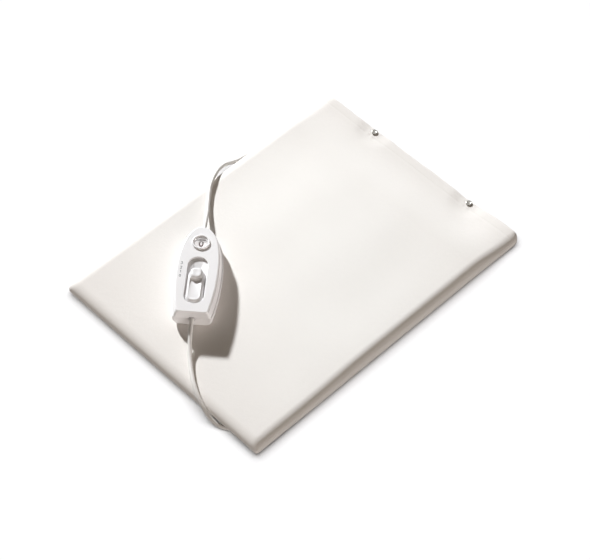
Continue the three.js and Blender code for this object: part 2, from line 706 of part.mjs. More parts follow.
function coverPanels() {
  const reach = [-SLEEVE_OUT - OVERRUN, SLEEVE_IN + OVERRUN];
  const opening = () => atSleeve(barAlongX(...reach, 0, 0, SLEEVE_RADIUS + GAP));
  const holes = studPlaces().map((y) =>
    post(STUD_X, y, -OVERRUN, MOUTH_TOP + OVERRUN, STUD_POST_RADIUS + GAP));
  return [
    named('cover_upper_cloth', shaped(skinPanel(upperSkin), [], [opening(), ...holes]), FLEECE()),
    named('cover_lower_cloth', shaped(skinPanel(lowerSkin), [], [opening(), ...holes]), FLEECE()),
  ];
}

function fillings() {
  const space = WIRE_DIAMETER / 2 + GAP;
  const upper = sheet(FILLING_X, FILLING_Y,
    (x, y) => [x, y, upperSkin(x, y, CLOTH + GAP)],
    (x, y) => [x, y, middle(x, y) + space]);
  const lower = sheet(FILLING_X, FILLING_Y,
    (x, y) => [x, y, middle(x, y) - space],
    (x, y) => [x, y, lowerSkin(x, y, CLOTH + GAP)]);
  return [named('upper_felt_pad', upper, FELT()), named('lower_felt_pad', lower, FELT())];
}

// Height between the two felt pads, read from the flat triangles that the pads are made of.
function middleOnLines(x, y) {
  const cell = (lines, value) => {
    const i = lines.findIndex((line, k) => k > 0 && value <= line) - 1;
    return THREE.MathUtils.clamp(i < -1 ? lines.length - 2 : i, 0, lines.length - 2);
  };
  const [i, j] = [cell(X_LINES, x), cell(Y_LINES, y)];
  const [x0, x1, y0, y1] = [X_LINES[i], X_LINES[i + 1], Y_LINES[j], Y_LINES[j + 1]];
  const [u, v] = [(x - x0) / (x1 - x0), (y - y0) / (y1 - y0)];
  const [a, b, c, d] = [middle(x0, y0), middle(x1, y0), middle(x1, y1), middle(x0, y1)];
  return u >= v ? a + (b - a) * u + (c - b) * v : a + (c - d) * u + (d - a) * v;
}

// The wire goes up and down the pad on every second surface line, and its ends come back to the junction.
function heatingWire() {
  const lines = WIRE_RUNS;
  const edge = PAD_WIDTH / 2 - LEAD_INSET;
  const reach = FILLING_Y[FILLING_Y.length - 2];
  const depth = (FILLING_Y[FILLING_Y.length - 1] - reach) * TURN_DEPTH_SHARE;
  const half = (lines[1] - lines[0]) / 2;
  const ys = FILLING_Y.filter((y) => Math.abs(y) < reach + WELD).reverse();
  const corner = (x, side) => CORNER_SHARES.map((share) => {
    const angle = (Math.PI / 2) * share;
    return [x + side * WIRE_CORNER * (1 - Math.sin(angle)), edge - WIRE_CORNER * (1 - Math.cos(angle))];
  });
  const places = [[cutoutXs()[0] - CUTOUT_LENGTH / 2 - CUTOUT_LEAD - GAP, edge], ...corner(lines[0], 1)];
  lines.forEach((x, k) => {
    const side = k % 2 === 0 ? -1 : 1;
    places.push(...(side < 0 ? ys : [...ys].reverse()).map((y) => [x, y]));
    if (k + 1 === lines.length) return;
    TURN_SHARES.forEach((share) => {
      const angle = Math.PI * share;
      places.push([x + half - half * Math.cos(angle), side * (reach + depth * Math.sin(angle))]);
    });
  });
  places.push(...corner(lines[lines.length - 1], -1).reverse());
  places.push([cutoutXs()[1] + CUTOUT_LENGTH / 2 + CUTOUT_LEAD + GAP, edge]);
  const felt = FILLING_Y[FILLING_Y.length - 1] + WIRE_DIAMETER;
  const height = (x, y) => (y > felt ? SEAM_HEIGHT : middleOnLines(x, y));
  const points = places.map(([x, y]) => new THREE.Vector3(x, y, height(x, y)));
  const wire = woundTube(points, WIRE_DIAMETER / 2, WIRE_SIDES);
  return named('heating_wire', wire, finish('#c8b8a0', 0.6));
}

function cutoutXs() {
  const reach = JUNCTION_LENGTH / 2 + GAP + CUTOUT_LEAD + CUTOUT_LENGTH / 2;
  return [JUNCTION_X - reach, JUNCTION_X + reach];
}

function padElectrics() {
  const y = PAD_WIDTH / 2 - LEAD_INSET;
  const z = SEAM_HEIGHT;
  const cutouts = cutoutXs().map((x, i) => {
    const body = barAlongX(x - CUTOUT_LENGTH / 2, x + CUTOUT_LENGTH / 2, y, z, CUTOUT_RADIUS);
    const leads = barAlongX(x - CUTOUT_LENGTH / 2 - CUTOUT_LEAD, x + CUTOUT_LENGTH / 2 + CUTOUT_LEAD, y, z,
      WIRE_DIAMETER / 2, WIRE_SIDES);
    return named(`thermal_cutout_${i + 1}`, shaped(body, [leads], []), NICKEL());
  });
  const ends = [JUNCTION_X - JUNCTION_LENGTH / 2, JUNCTION_X + JUNCTION_LENGTH / 2];
  const junction = box(...ends, y - JUNCTION_WIDTH / 2, y + JUNCTION_WIDTH / 2,
    z - JUNCTION_HEIGHT / 2, z + JUNCTION_HEIGHT / 2);
  const sleeve = atSleeve(turned(ribbedTaper(SLEEVE_IN + SLEEVE_OUT, SLEEVE_RADIUS, SLEEVE_TIP_RADIUS,
    SLEEVE_RIBS, RELIEF_GROOVE)).rotateY(-Math.PI / 2).translate(SLEEVE_IN, 0, 0));
  return [
    ...cutouts,
    named('pad_junction', junction, WHITE_PLASTIC()),
    named('pad_cord_sleeve', sleeve, CORD_PLASTIC()),
  ];
}

function studPlaces() {
  return [STUD_Y + STUD_SPACING / 2, STUD_Y - STUD_SPACING / 2];
}

// One press stud: a capped post and its socket in the upper lip, a ball and its rivet in the lower lip.
function pressStud(y, number) {
  const upperInside = MOUTH_TOP - CLOTH - GAP;
  const lowerInside = MOUTH_RISE + CLOTH + GAP;
  const capBottom = MOUTH_TOP + GAP;
  const capEdge = capBottom + STUD_CAP_HEIGHT * CAP_EDGE_SHARE;
  const ballTop = lowerInside + STUD_SEAT + STUD_BALL_HEIGHT;
  const dish = turned([
    [0, capBottom],
    [STUD_CAP_RADIUS, capBottom],
    [STUD_CAP_RADIUS, capEdge],
    [STUD_CAP_RADIUS * CAP_RIM_SHARE, capBottom + STUD_CAP_HEIGHT],
    [STUD_CAP_RADIUS * CAP_WELL_SHARE, capEdge],
    [0, capEdge],
  ]);
  const cap = shaped(dish, [post(0, 0, upperInside, capBottom + GAP, STUD_POST_RADIUS)], []);
  const rivet = shaped(post(0, 0, GAP, MOUTH_RISE - GAP, STUD_CAP_RADIUS),
    [post(0, 0, GAP, lowerInside - GAP, STUD_POST_RADIUS)], []);
  const socket = turned(ringProfile([
    [STUD_BALL_RADIUS + GAP, lowerInside + STUD_SEAT + GAP],
    [STUD_RING_RADIUS, lowerInside + STUD_SEAT + GAP],
    [STUD_RING_RADIUS, upperInside - GAP],
    [STUD_BALL_RADIUS + GAP, upperInside - GAP],
  ]));
  const ball = turned([
    [0, lowerInside],
    [STUD_RING_RADIUS, lowerInside],
    [STUD_RING_RADIUS, lowerInside + STUD_SEAT],
    [STUD_BALL_RADIUS * BALL_NECK_SHARE, lowerInside + STUD_SEAT],
    [STUD_BALL_RADIUS, mix(lowerInside + STUD_SEAT, ballTop, BALL_NECK_SHARE)],
    [STUD_BALL_RADIUS * BALL_NECK_SHARE, ballTop],
    [0, ballTop],
  ]);
  const pieces = { stud_cap: cap, stud_socket: socket, stud_ball: ball, stud_rivet: rivet };
  return Object.entries(pieces).map(([name, geometry]) =>
    named(`${name}_${number}`, geometry.translate(STUD_X, y, 0), NICKEL()));
}

// Half the width of the housing's outline at x, drawn in by the inset.
function halfWidthAt(x, inset) {
  const widest = BODY_HALF_WIDTH - inset;
  if (x < WIDEST_X) return widest - (x - WIDEST_X) ** 2 / (2 * SIDE_RADIUS);
  const share = (x - WIDEST_X) / (BODY_LENGTH - inset - WIDEST_X);
  return widest * (1 - share ** TIP_POWER) ** (1 / TIP_POWER);
}

// Where the rounded tip lies at y, drawn in by the inset.
function tipAt(y, inset) {
  const share = 1 - (y / (BODY_HALF_WIDTH - inset)) ** TIP_POWER;
  return WIDEST_X + (BODY_LENGTH - inset - WIDEST_X) * share ** (1 / TIP_POWER);
}

// The housing's outline: a straight mains end, bowed sides and a rounded tip.
function bodyOutline(inset, front) {
  const half = [];
  const shoulder = halfWidthAt(front + CORNER_RADIUS, inset);
  for (let i = 0; i <= CORNER_STEPS; i += 1) {
    const angle = (Math.PI / 2) * (i / CORNER_STEPS);
    const [across, along] = [Math.sin(angle), Math.cos(angle)];
    half.push([front + CORNER_RADIUS * (1 - across), shoulder - CORNER_RADIUS * (1 - along)]);
  }
  half.reverse();
  for (let i = 1; i <= SIDE_STEPS; i += 1) {
    const x = mix(front + CORNER_RADIUS, WIDEST_X, i / SIDE_STEPS);
    half.push([x, halfWidthAt(x, inset)]);
  }
  for (let i = 1; i < TIP_STEPS; i += 1) {
    const angle = (Math.PI / 2) * (i / TIP_STEPS);
    const x = mix(WIDEST_X, BODY_LENGTH - inset, Math.sin(angle) ** (2 / TIP_POWER));
    half.push([x, (BODY_HALF_WIDTH - inset) * Math.cos(angle) ** (2 / TIP_POWER)]);
  }
  const mirrored = half.map(([x, y]) => [x, -y]).reverse();
  return [...half, [BODY_LENGTH - inset, 0], ...mirrored];
}

const bodyRing = ([height, inset, wall = 0]) =>
  bodyOutline(inset + wall, inset * FRONT_INSET_SHARE + wall)
    .map(([x, y]) => new THREE.Vector3(x, y, height));

function upperShellBlank() {
  const edge = PARTING_HEIGHT + GAP / 2;
  const ledge = PARTING_HEIGHT + LIP_HEIGHT;
  const outside = [
    [edge, LIP_ROUND],
    [edge + LIP_ROUND, 0],
    [ledge - LIP_ROUND, 0],
    [ledge, LIP_ROUND],
    [ledge, LIP_LEDGE],
    ...FACE_EDGE_SHARES.map(([down, inwards]) =>
      [FACE_HEIGHT - FACE_ROUND * down, FACE_INSET + FACE_ROUND * inwards]),
  ];
  const inside = [
    [FACE_HEIGHT - WALL, FACE_INSET, WALL],
    [ledge, LIP_LEDGE, WALL],
    [edge, LIP_LEDGE, WALL],
  ];
  return lofted([...outside.reverse(), ...inside.reverse()].map(bodyRing));
}

function lowerShellBlank() {
  const edge = PARTING_HEIGHT - GAP / 2;
  const curve = (wall) => Array.from({ length: BASE_ROUND_STEPS + 1 }, (_, i) => {
    const angle = (Math.PI / 2) * (i / BASE_ROUND_STEPS);
    return [wall + (BASE_ROUND - wall) * (1 - Math.sin(angle)), BASE_ROUND * (1 - Math.cos(angle)), wall];
  });
  const outside = [[edge, LIP_ROUND], [edge - LIP_ROUND, 0], ...curve(0)];
  const inside = [[edge, LIP_ROUND, WALL], ...curve(WALL)];
  return lofted([...outside.reverse(), ...inside].map(bodyRing));
}

const screwPlaces = () => SCREW_XS.flatMap((x, i) => [[x, SCREW_YS[i]], [x, -SCREW_YS[i]]]);
const clampXs = () => [WALL + CLAMP_FROM_END, BODY_LENGTH - WALL - LIP_LEDGE - CLAMP_FROM_END];

// The hole for the two bushes, kept to the end walls.
function bushHoles() {
  const depth = WALL + LIP_LEDGE + OVERRUN;
  return [[-OVERRUN, depth], [BODY_LENGTH - depth, BODY_LENGTH + OVERRUN]].map(([x0, x1]) =>
    barAlongX(x0, x1, 0, PARTING_HEIGHT, BUSH_RADIUS + GAP));
}

function upperShell() {
  const ceiling = FACE_HEIGHT - WALL + GAP;
  const wide = RECESS_HALF_WIDTH + RECESS_FLOOR;
  const tray = slab(oblong(RECESS_START - RECESS_FLOOR, RECESS_END + RECESS_FLOOR, wide), TRAY_Z, ceiling);
  const pillars = screwPlaces().map(([x, y]) =>
    post(x, y, PARTING_HEIGHT + GAP / 2, ceiling, PILLAR_RADIUS));
  const railStart = CARRIER_START - DETENT_RAIL_HEIGHT;
  const railEnd = CARRIER_START + CARRIER_LENGTH + TRAVEL + DETENT_RAIL_HEIGHT;
  const railY = CARRIER_HALF_WIDTH + 2 * GAP + DETENT_NOTCH + SPRING_THICKNESS;
  const railBottom = TRAY_Z - DETENT_RAIL_HEIGHT;
  const rail = box(railStart, railEnd, railY, railY + DETENT_RAIL_WIDTH, railBottom, TRAY_Z + GAP);
  const notches = Array.from({ length: LEVEL_STEPS + 1 }, (_, i) => {
    const x = CARRIER_START + CARRIER_LENGTH / 2 + i * LEVEL_STEP;
    const mouth = [[x - DETENT_NOTCH, railY - GAP], [x + DETENT_NOTCH, railY - GAP]];
    const notch = polygon([...mouth, [x, railY + DETENT_NOTCH]]);
    return slab(notch, railBottom - OVERRUN, TRAY_Z - GAP);
  });
  const recess = slab(oblong(RECESS_START, RECESS_END, RECESS_HALF_WIDTH), RECESS_Z, FACE_HEIGHT + OVERRUN);
  const slotHalf = STEM_HALF_WIDTH + GAP;
  const slot = box(STEM_X - GAP, STEM_X + STEM_LENGTH + TRAVEL + GAP, -slotHalf, slotHalf,
    TRAY_Z - OVERRUN, RECESS_Z + OVERRUN);
  const [holeBottom, holeTop] = [FACE_HEIGHT - WALL - OVERRUN, FACE_HEIGHT + OVERRUN];
  const windowHole = post(WINDOW_X, 0, holeBottom, holeTop, RING_SEAT_RADIUS + GAP, ROUND_SIDES);
  const pilotTop = SCREW_SINK + SCREW_LENGTH + GAP;
  const pilots = screwPlaces().map(([x, y]) =>
    post(x, y, PARTING_HEIGHT - OVERRUN, pilotTop, SCREW_RADIUS + GAP));
  const blank = shaped(upperShellBlank(), [tray, ...pillars, rail], [...notches, recess, slot]);
  const shell = shaped(blank, [], [windowHole, ...pilots, ...bushHoles()]);
  return named('controller_upper_shell', shell, WHITE_PLASTIC());
}

function lowerShell() {
  const edge = PARTING_HEIGHT - GAP / 2;
  const floor = WALL / 2;
  const bosses = screwPlaces().map(([x, y]) => post(x, y, floor, edge, BOSS_RADIUS));
  const bedTop = PARTING_HEIGHT - CORD_RADIUS - GAP;
  const beds = clampXs().flatMap((x) => [
    box(x - CLAMP_LENGTH / 2, x + CLAMP_LENGTH / 2, -CLAMP_HALF_WIDTH, CLAMP_HALF_WIDTH, floor, bedTop),
    ...[-CLAMP_SCREW_Y, CLAMP_SCREW_Y].map((y) =>
      post(x, y, floor, PARTING_HEIGHT + CORD_RADIUS, CLAMP_PILLAR_RADIUS)),
  ]);
  const [boardX0, boardX1] = [BOARD_START + BOARD_POST_INSET, BOARD_END - BOARD_POST_INSET];
  const boardY = BOARD_HALF_WIDTH - BOARD_POST_INSET;
  const boardRight = BOARD_POST_INSET - BOARD_RIGHT;
  const boardPosts = [[boardX0, boardY], [boardX0, -boardY], [boardX1, boardY], [boardX1, boardRight]]
    .map(([x, y]) => post(x, y, floor, BOARD_HEIGHT - GAP, BOARD_POST_RADIUS));
  const cheekTop = DRUM_HEIGHT + AXLE_HUB_RADIUS;
  const [cheekX0, cheekX1] = [WINDOW_X - CHEEK_HALF_LENGTH, WINDOW_X + CHEEK_HALF_LENGTH];
  const cheeks = cheekYs().map((y) => box(cheekX0, cheekX1, y, y + CHEEK_WIDTH, floor, cheekTop));
  const holeEnds = [cheekYs()[1] - OVERRUN, cheekYs()[0] + CHEEK_WIDTH + OVERRUN];
  const axleHole = barAlongY(WINDOW_X, ...holeEnds, DRUM_HEIGHT, AXLE_RADIUS + GAP);
  const screwHoles = screwPlaces().flatMap(([x, y]) => [
    post(x, y, -OVERRUN, edge + OVERRUN, SCREW_RADIUS + GAP),
    post(x, y, -OVERRUN, SCREW_SINK, SCREW_HEAD_RADIUS + GAP),
  ]);
  const clampHoles = clampXs().flatMap((x) => [-CLAMP_SCREW_Y, CLAMP_SCREW_Y].map((y) =>
    post(x, y, clampScrewFoot() - GAP, PARTING_HEIGHT + CORD_DIAMETER, CLAMP_SCREW_RADIUS + GAP)));
  const cordBed = clampXs().map((x) =>
    barAlongX(x - CLAMP_LENGTH, x + CLAMP_LENGTH, 0, PARTING_HEIGHT, CORD_RADIUS + GAP));
  const shell = shaped(lowerShellBlank(), [...bosses, ...beds, ...boardPosts, ...cheeks],
    [axleHole, ...screwHoles, ...clampHoles, ...cordBed, ...bushHoles()]);
  return named('controller_lower_shell', shell, WHITE_PLASTIC());
}

const cheekYs = () => [DRUM_HALF_WIDTH + GAP, -DRUM_HALF_WIDTH - PINION_WIDTH - GAP - CHEEK_WIDTH];
const clampScrewFoot = () => PARTING_HEIGHT + CORD_RADIUS + CLAMP_THICKNESS - CLAMP_SCREW_LENGTH;

function screwGeometry(x, y, headBottom, shankTop) {
  const head = post(x, y, headBottom, headBottom + SCREW_HEAD_HEIGHT, SCREW_HEAD_RADIUS);
  return shaped(head, [post(x, y, headBottom, shankTop, SCREW_RADIUS)], []);
}

function fasteners() {
  const screws = screwPlaces().map(([x, y], i) => named(`housing_screw_${i + 1}`,
    screwGeometry(x, y, SCREW_SINK - SCREW_HEAD_HEIGHT - GAP, SCREW_SINK + SCREW_LENGTH - GAP), NICKEL()));
  const ends = ['mains', 'pad'];
  const clamps = clampXs().flatMap((x, i) => {
    const z0 = PARTING_HEIGHT + CORD_RADIUS + GAP;
    const z1 = z0 + CLAMP_THICKNESS;
    const holes = [-CLAMP_SCREW_Y, CLAMP_SCREW_Y].map((y) =>
      post(x, y, z0 - OVERRUN, z1 + OVERRUN, CLAMP_SCREW_RADIUS + GAP));
    const [x0, x1] = [x - CLAMP_LENGTH / 2, x + CLAMP_LENGTH / 2];
    const bar = box(x0, x1, -CLAMP_HALF_WIDTH, CLAMP_HALF_WIDTH, z0, z1);
    const screwPair = [-CLAMP_SCREW_Y, CLAMP_SCREW_Y].map((y, k) => {
      const head = post(x, y, z1 + GAP, z1 + GAP + SCREW_HEAD_HEIGHT / 2, CLAMP_SCREW_RADIUS * 2);
      const shank = post(x, y, clampScrewFoot(), z1 + GAP * 2, CLAMP_SCREW_RADIUS);
      return named(`${ends[i]}_clamp_screw_${k + 1}`, shaped(head, [shank], []), NICKEL());
    });
    return [named(`${ends[i]}_cord_clamp`, shaped(bar, [], holes), SHADED_PLASTIC()), ...screwPair];
  });
  return [...screws, ...clamps];
}

// A bush in each end wall: a short collar outside, a flange inside.
function bushes() {
  const bore = CORD_RADIUS + GAP;
  const profile = (inner) => ringProfile([
    [bore, -BUSH_PROUD],
    [BUSH_RADIUS - BUSH_PROUD / 2, -BUSH_PROUD],
    [BUSH_RADIUS, 0],
    [BUSH_RADIUS, inner],
    [BUSH_FLANGE_RADIUS, inner],
    [BUSH_FLANGE_RADIUS, inner + BUSH_FLANGE],
    [bore, inner + BUSH_FLANGE],
  ]);
  const mainsWall = WALL + LIP_LEDGE * FRONT_INSET_SHARE + GAP;
  const padWall = BODY_LENGTH - tipAt(BUSH_FLANGE_RADIUS, WALL + LIP_LEDGE) + GAP;
  const mains = turned(profile(mainsWall)).rotateY(Math.PI / 2).translate(0, 0, PARTING_HEIGHT);
  const pad = turned(profile(padWall)).rotateY(-Math.PI / 2).translate(BODY_LENGTH, 0, PARTING_HEIGHT);
  return [named('mains_cord_bush', mains, SHADED_PLASTIC()), named('pad_cord_bush', pad, SHADED_PLASTIC())];
}

function windowPieces() {
  const seatZ = FACE_HEIGHT + GAP;
  const lensZ = seatZ + GAP;
  const bore = LENS_RADIUS - LENS_SEAT;
  const ring = turned(ringProfile([
    [bore, FACE_HEIGHT - WALL + GAP],
    [RING_SEAT_RADIUS, FACE_HEIGHT - WALL + GAP],
    [RING_SEAT_RADIUS, seatZ],
    [RING_RADIUS, seatZ],
    [RING_RADIUS, seatZ + RING_RISE * RING_EDGE_SHARE],
    [mix(RING_RADIUS, LENS_RADIUS, RING_CROWN_SHARES[0]), FACE_HEIGHT + RING_RISE],
    [mix(RING_RADIUS, LENS_RADIUS, RING_CROWN_SHARES[1]), FACE_HEIGHT + RING_RISE],
    [LENS_RADIUS + GAP, lensZ + LENS_EDGE + GAP],
    [LENS_RADIUS + GAP, lensZ - GAP],
    [bore, lensZ - GAP],
  ]), ROUND_SIDES).translate(WINDOW_X, 0, 0);
  const lens = turned([
    [0, lensZ],
    [LENS_RADIUS, lensZ],
    [LENS_RADIUS, lensZ + LENS_EDGE],
    ...LENS_SHARES.map(([radius, crown]) => [LENS_RADIUS * radius, lensZ + LENS_EDGE + LENS_CROWN * crown]),
    [0, lensZ + LENS_EDGE + LENS_CROWN],
  ], ROUND_SIDES).translate(WINDOW_X, 0, 0);
  const glass = finish('#f4eef0', 0.1);
  glass.transparent = true;
  glass.opacity = 0.4;
  return [named('window_ring', ring, WHITE_PLASTIC()), named('window_lens', lens, glass)];
}

// The thumb slide: a hollowed tongue and a domed nub on a plate, over a stem that goes through the slot.
function slideKnob() {
  const [x0, x1] = [KNOB_START, KNOB_START + KNOB_LENGTH];
  const z0 = RECESS_Z + GAP;
  const top = FACE_HEIGHT + KNOB_RISE;
  const layer = (z, inset) => oblong(x0 + inset, x1 - inset, KNOB_HALF_WIDTH - inset)
    .getPoints(ARC_STEPS / 2)
    .map((p) => new THREE.Vector3(p.x, p.y, z));
  const shoulder = layer(top - KNOB_EDGE, KNOB_EDGE / 2);
  const plate = lofted([layer(z0, 0), shoulder, layer(top, KNOB_EDGE * 3 / 2)]);
  const nubX = x1 - KNOB_EDGE - NUB_LENGTH / 2;
  const nub = new THREE.SphereGeometry(1, ROUND_SIDES, ARC_STEPS + ARC_STEPS / 2)
    .scale(NUB_LENGTH / 2, NUB_HALF_WIDTH, NUB_RISE)
    .translate(nubX, 0, top - KNOB_EDGE);
  const scoop = new THREE.SphereGeometry(1, ROUND_SIDES, ARC_STEPS + ARC_STEPS / 2)
    .scale(SCOOP_SHARES[0] * KNOB_LENGTH, KNOB_HALF_WIDTH * SCOOP_SHARES[1], NUB_RISE * SCOOP_SHARES[2])
    .translate(x0 + KNOB_LENGTH * SCOOP_SHARES[3], 0, top + NUB_RISE * SCOOP_SHARES[2] - KNOB_EDGE);
  const under = box(x0, x1, -BODY_HALF_WIDTH, BODY_HALF_WIDTH, 0, z0);
  const stem = box(STEM_X, STEM_X + STEM_LENGTH, -STEM_HALF_WIDTH, STEM_HALF_WIDTH,
    z0 - STEM_DEPTH, z0 + KNOB_EDGE);
  const knob = shaped(shaped(plate, [nub], [scoop, under]), [stem], []);
  return named('slide_knob', knob, WHITE_PLASTIC());
}

// A flat-topped rack tooth or pinion tooth, given by half its thickness at the tip and the root.
const toothOutline = (root, tip) =>
  [[-TOOTH_ROOT, root], [TOOTH_ROOT, root], [TOOTH_TIP, tip], [-TOOTH_TIP, tip]];

function rackTeeth(x0, x1) {
  const pitch = Math.PI * MODULE;
  const teeth = [];
  const first = Math.ceil((x0 - WINDOW_X - pitch / 2 + TOOTH_ROOT) / pitch);
  for (let n = first; WINDOW_X + pitch / 2 + n * pitch + TOOTH_ROOT <= x1; n += 1) {
    const x = WINDOW_X + pitch / 2 + n * pitch;
    const outline = toothOutline(RACK_PITCH_Z - MODULE - 2 * GAP, RACK_PITCH_Z + MODULE - GAP / 2);
    const tooth = slab(polygon(outline), 0, RACK_WIDTH).rotateX(Math.PI / 2);
    teeth.push(tooth.translate(x, RACK_Y + RACK_WIDTH, 0));
  }
  return teeth;
}

function slideCarrier() {
  const [x0, x1] = [CARRIER_START, CARRIER_START + CARRIER_LENGTH];
  const z1 = CARRIER_Z + CARRIER_HEIGHT;
  const block = box(x0, x1, -CARRIER_HALF_WIDTH, CARRIER_HALF_WIDTH, CARRIER_Z, z1);
  const socketHalf = STEM_HALF_WIDTH + GAP;
  const socket = box(STEM_X - GAP, STEM_X + STEM_LENGTH + GAP, -socketHalf, socketHalf,
    RECESS_Z - STEM_DEPTH, z1 + OVERRUN);
  const rackTop = RACK_PITCH_Z - MODULE - GAP;
  const rackEnd = WINDOW_X + RACK_OVERHANG;
  const legLength = CARRIER_LENGTH / 3;
  const leg = box(x1 - legLength, x1, RACK_Y, RACK_Y + RACK_WIDTH, rackTop - RACK_DEPTH, z1);
  const bridge = box(x1 - legLength, x1, RACK_Y, -CARRIER_HALF_WIDTH + GAP, CARRIER_Z, z1);
  const arm = box(x1 - legLength, rackEnd, RACK_Y, RACK_Y + RACK_WIDTH, rackTop - RACK_DEPTH, rackTop);
  const teeth = rackTeeth(WINDOW_X - TRAVEL - 2 * Math.PI * MODULE, rackEnd);
  const carrier = shaped(block, [bridge, leg, arm, ...teeth], [socket]);
  return named('slide_carrier', carrier, finish('#cfd2d4', 0.5));
}

// The spring that clicks into the rail's notches, drawn with its nose lifted clear of them.
function detentSpring() {
  const x = CARRIER_START + CARRIER_LENGTH / 2;
  const y = CARRIER_HALF_WIDTH + GAP;
  const reach = CARRIER_LENGTH / 2 - GAP;
  const nose = DETENT_NOTCH;
  const outline = [[-reach, 0], [-nose * 2, 0], [0, nose], [nose * 2, 0], [reach, 0],
    [reach, SPRING_THICKNESS], [nose * 2, SPRING_THICKNESS], [0, nose + SPRING_THICKNESS],
    [-nose * 2, SPRING_THICKNESS], [-reach, SPRING_THICKNESS]];
  const z = TRAY_Z - GAP - CARRIER_HEIGHT / 2 - SPRING_HEIGHT / 2;
  return named('detent_spring', slab(polygon(outline), z, z + SPRING_HEIGHT).translate(x, y, 0), NICKEL());
}

function contactWiper() {
  const x = CARRIER_START + CARRIER_LENGTH / 2;
  const top = CARRIER_Z - GAP;
  const foot = BOARD_TOP + GAP + TRACK_THICKNESS + GAP;
  const [half, quarter, t] = [WIPER_LENGTH / 2, WIPER_LENGTH / 4, WIPER_THICKNESS];
  const outline = [[-half, foot], [-half + t, foot], [-quarter + t, top - t], [quarter - t, top - t],
    [half - t, foot], [half, foot], [quarter, top], [-quarter, top]];
  const strip = slab(polygon(outline), -WIPER_HALF_WIDTH, WIPER_HALF_WIDTH).rotateX(Math.PI / 2);
  return named('contact_wiper', strip.translate(x, 0, 0), BRASS());
}

// The level drum: a rim on a web and a hub, with the pinion on its right side, all one moulding.
function levelDrum() {
  const [left, right] = [DRUM_HALF_WIDTH, -DRUM_HALF_WIDTH];
  const rim = barAlongY(0, right, left, 0, DRUM_RADIUS, ROUND_SIDES);
  const room = barAlongY(0, right + DRUM_WEB, left + OVERRUN, 0, DRUM_RADIUS - DRUM_WALL, ROUND_SIDES);
  const hub = barAlongY(0, right, left, 0, AXLE_HUB_RADIUS);
  const pinion = barAlongY(0, right - PINION_WIDTH, right + GAP, 0, PINION_ROOT_RADIUS);
  const teeth = Array.from({ length: PINION_TEETH }, (_, i) => {
    const outline = toothOutline(PINION_ROOT_RADIUS - GAP, PINION_TIP_RADIUS);
    return slab(polygon(outline), 0, PINION_WIDTH)
      .rotateX(Math.PI / 2)
      .translate(0, right + GAP, 0)
      .rotateY((2 * Math.PI * i) / PINION_TEETH);
  });
  const bore = barAlongY(0, right - PINION_WIDTH - OVERRUN, left + OVERRUN, 0, AXLE_RADIUS + GAP);
  const drum = shaped(shaped(rim, [], [room]), [hub, pinion, ...teeth], [bore]);
  return named('level_drum', drum.translate(WINDOW_X, 0, DRUM_HEIGHT), WHITE_PLASTIC());
}

function drumAxle() {
  const [left, right] = cheekYs();
  const axle = barAlongY(WINDOW_X, right, left + CHEEK_WIDTH, DRUM_HEIGHT, AXLE_RADIUS);
  return named('drum_axle', axle, NICKEL());
}

function boardAndParts() {
  const z = BOARD_TOP + GAP;
  const outline = polygon([
    [BOARD_START, -BOARD_HALF_WIDTH],
    [BOARD_WIDE_END, -BOARD_HALF_WIDTH],
    [BOARD_WIDE_END, -BOARD_RIGHT],
    [BOARD_END, -BOARD_RIGHT],
    [BOARD_END, BOARD_HALF_WIDTH],
    [BOARD_START, BOARD_HALF_WIDTH],
  ]);
  const [trackX0, trackX1] = [TRACK_X - TRACK_LENGTH / 2, TRACK_X + TRACK_LENGTH / 2];
  const tracks = [-TRACK_Y, TRACK_Y].map((y, i) => {
    const strip = box(trackX0, trackX1, y - TRACK_HALF_WIDTH, y + TRACK_HALF_WIDTH, z, z + TRACK_THICKNESS);
    return named(`contact_track_${i + 1}`, strip, BRASS());
  });
  const fuseZ = z + FUSE_RADIUS;
  const fuseEnds = [FUSE_X - FUSE_LENGTH / 2, FUSE_X + FUSE_LENGTH / 2];
  const fuse = shaped(barAlongX(fuseEnds[0], fuseEnds[1], FUSE_Y, fuseZ, FUSE_GLASS_RADIUS), [
    barAlongX(fuseEnds[0], fuseEnds[0] + FUSE_CAP_LENGTH, FUSE_Y, fuseZ, FUSE_RADIUS),
    barAlongX(fuseEnds[1] - FUSE_CAP_LENGTH, fuseEnds[1], FUSE_Y, fuseZ, FUSE_RADIUS),
  ], []);
  const seated = (x, y, length, width, height) =>
    box(x - length / 2, x + length / 2, y - width / 2, y + width / 2, z, z + height);
  const lamp = turned([
    [0, 0],
    [LAMP_RADIUS, 0],
    [LAMP_RADIUS, LAMP_HEIGHT * LAMP_SHARES[0]],
    [LAMP_RADIUS * LAMP_SHARES[1], LAMP_HEIGHT * LAMP_SHARES[1]],
    [0, LAMP_HEIGHT],
  ]).translate(LAMP_X, 0, z);
  const capacitor = seated(CAPACITOR_X, CAPACITOR_Y, CAPACITOR_LENGTH, CAPACITOR_WIDTH, CAPACITOR_HEIGHT);
  const triac = seated(TRIAC_X, TRIAC_Y, TRIAC_LENGTH, TRIAC_WIDTH, TRIAC_HEIGHT);
  const resistor = barAlongX(RESISTOR_X - RESISTOR_LENGTH / 2, RESISTOR_X + RESISTOR_LENGTH / 2, RESISTOR_Y,
    z + RESISTOR_RADIUS, RESISTOR_RADIUS);
  return [
    named('circuit_board', slab(outline, BOARD_HEIGHT, BOARD_TOP), finish('#3f6b45', 0.55)),
    ...tracks,
    named('glass_fuse', fuse, NICKEL()),
    named('capacitor', capacitor, finish('#c9a227', 0.5)),
    named('triac', triac, finish('#202226', 0.5)),
    named('resistor', resistor, finish('#b99f7a', 0.6)),
    named('indicator_lamp', lamp, finish('#ffb0a0', 0.2)),
  ];
}

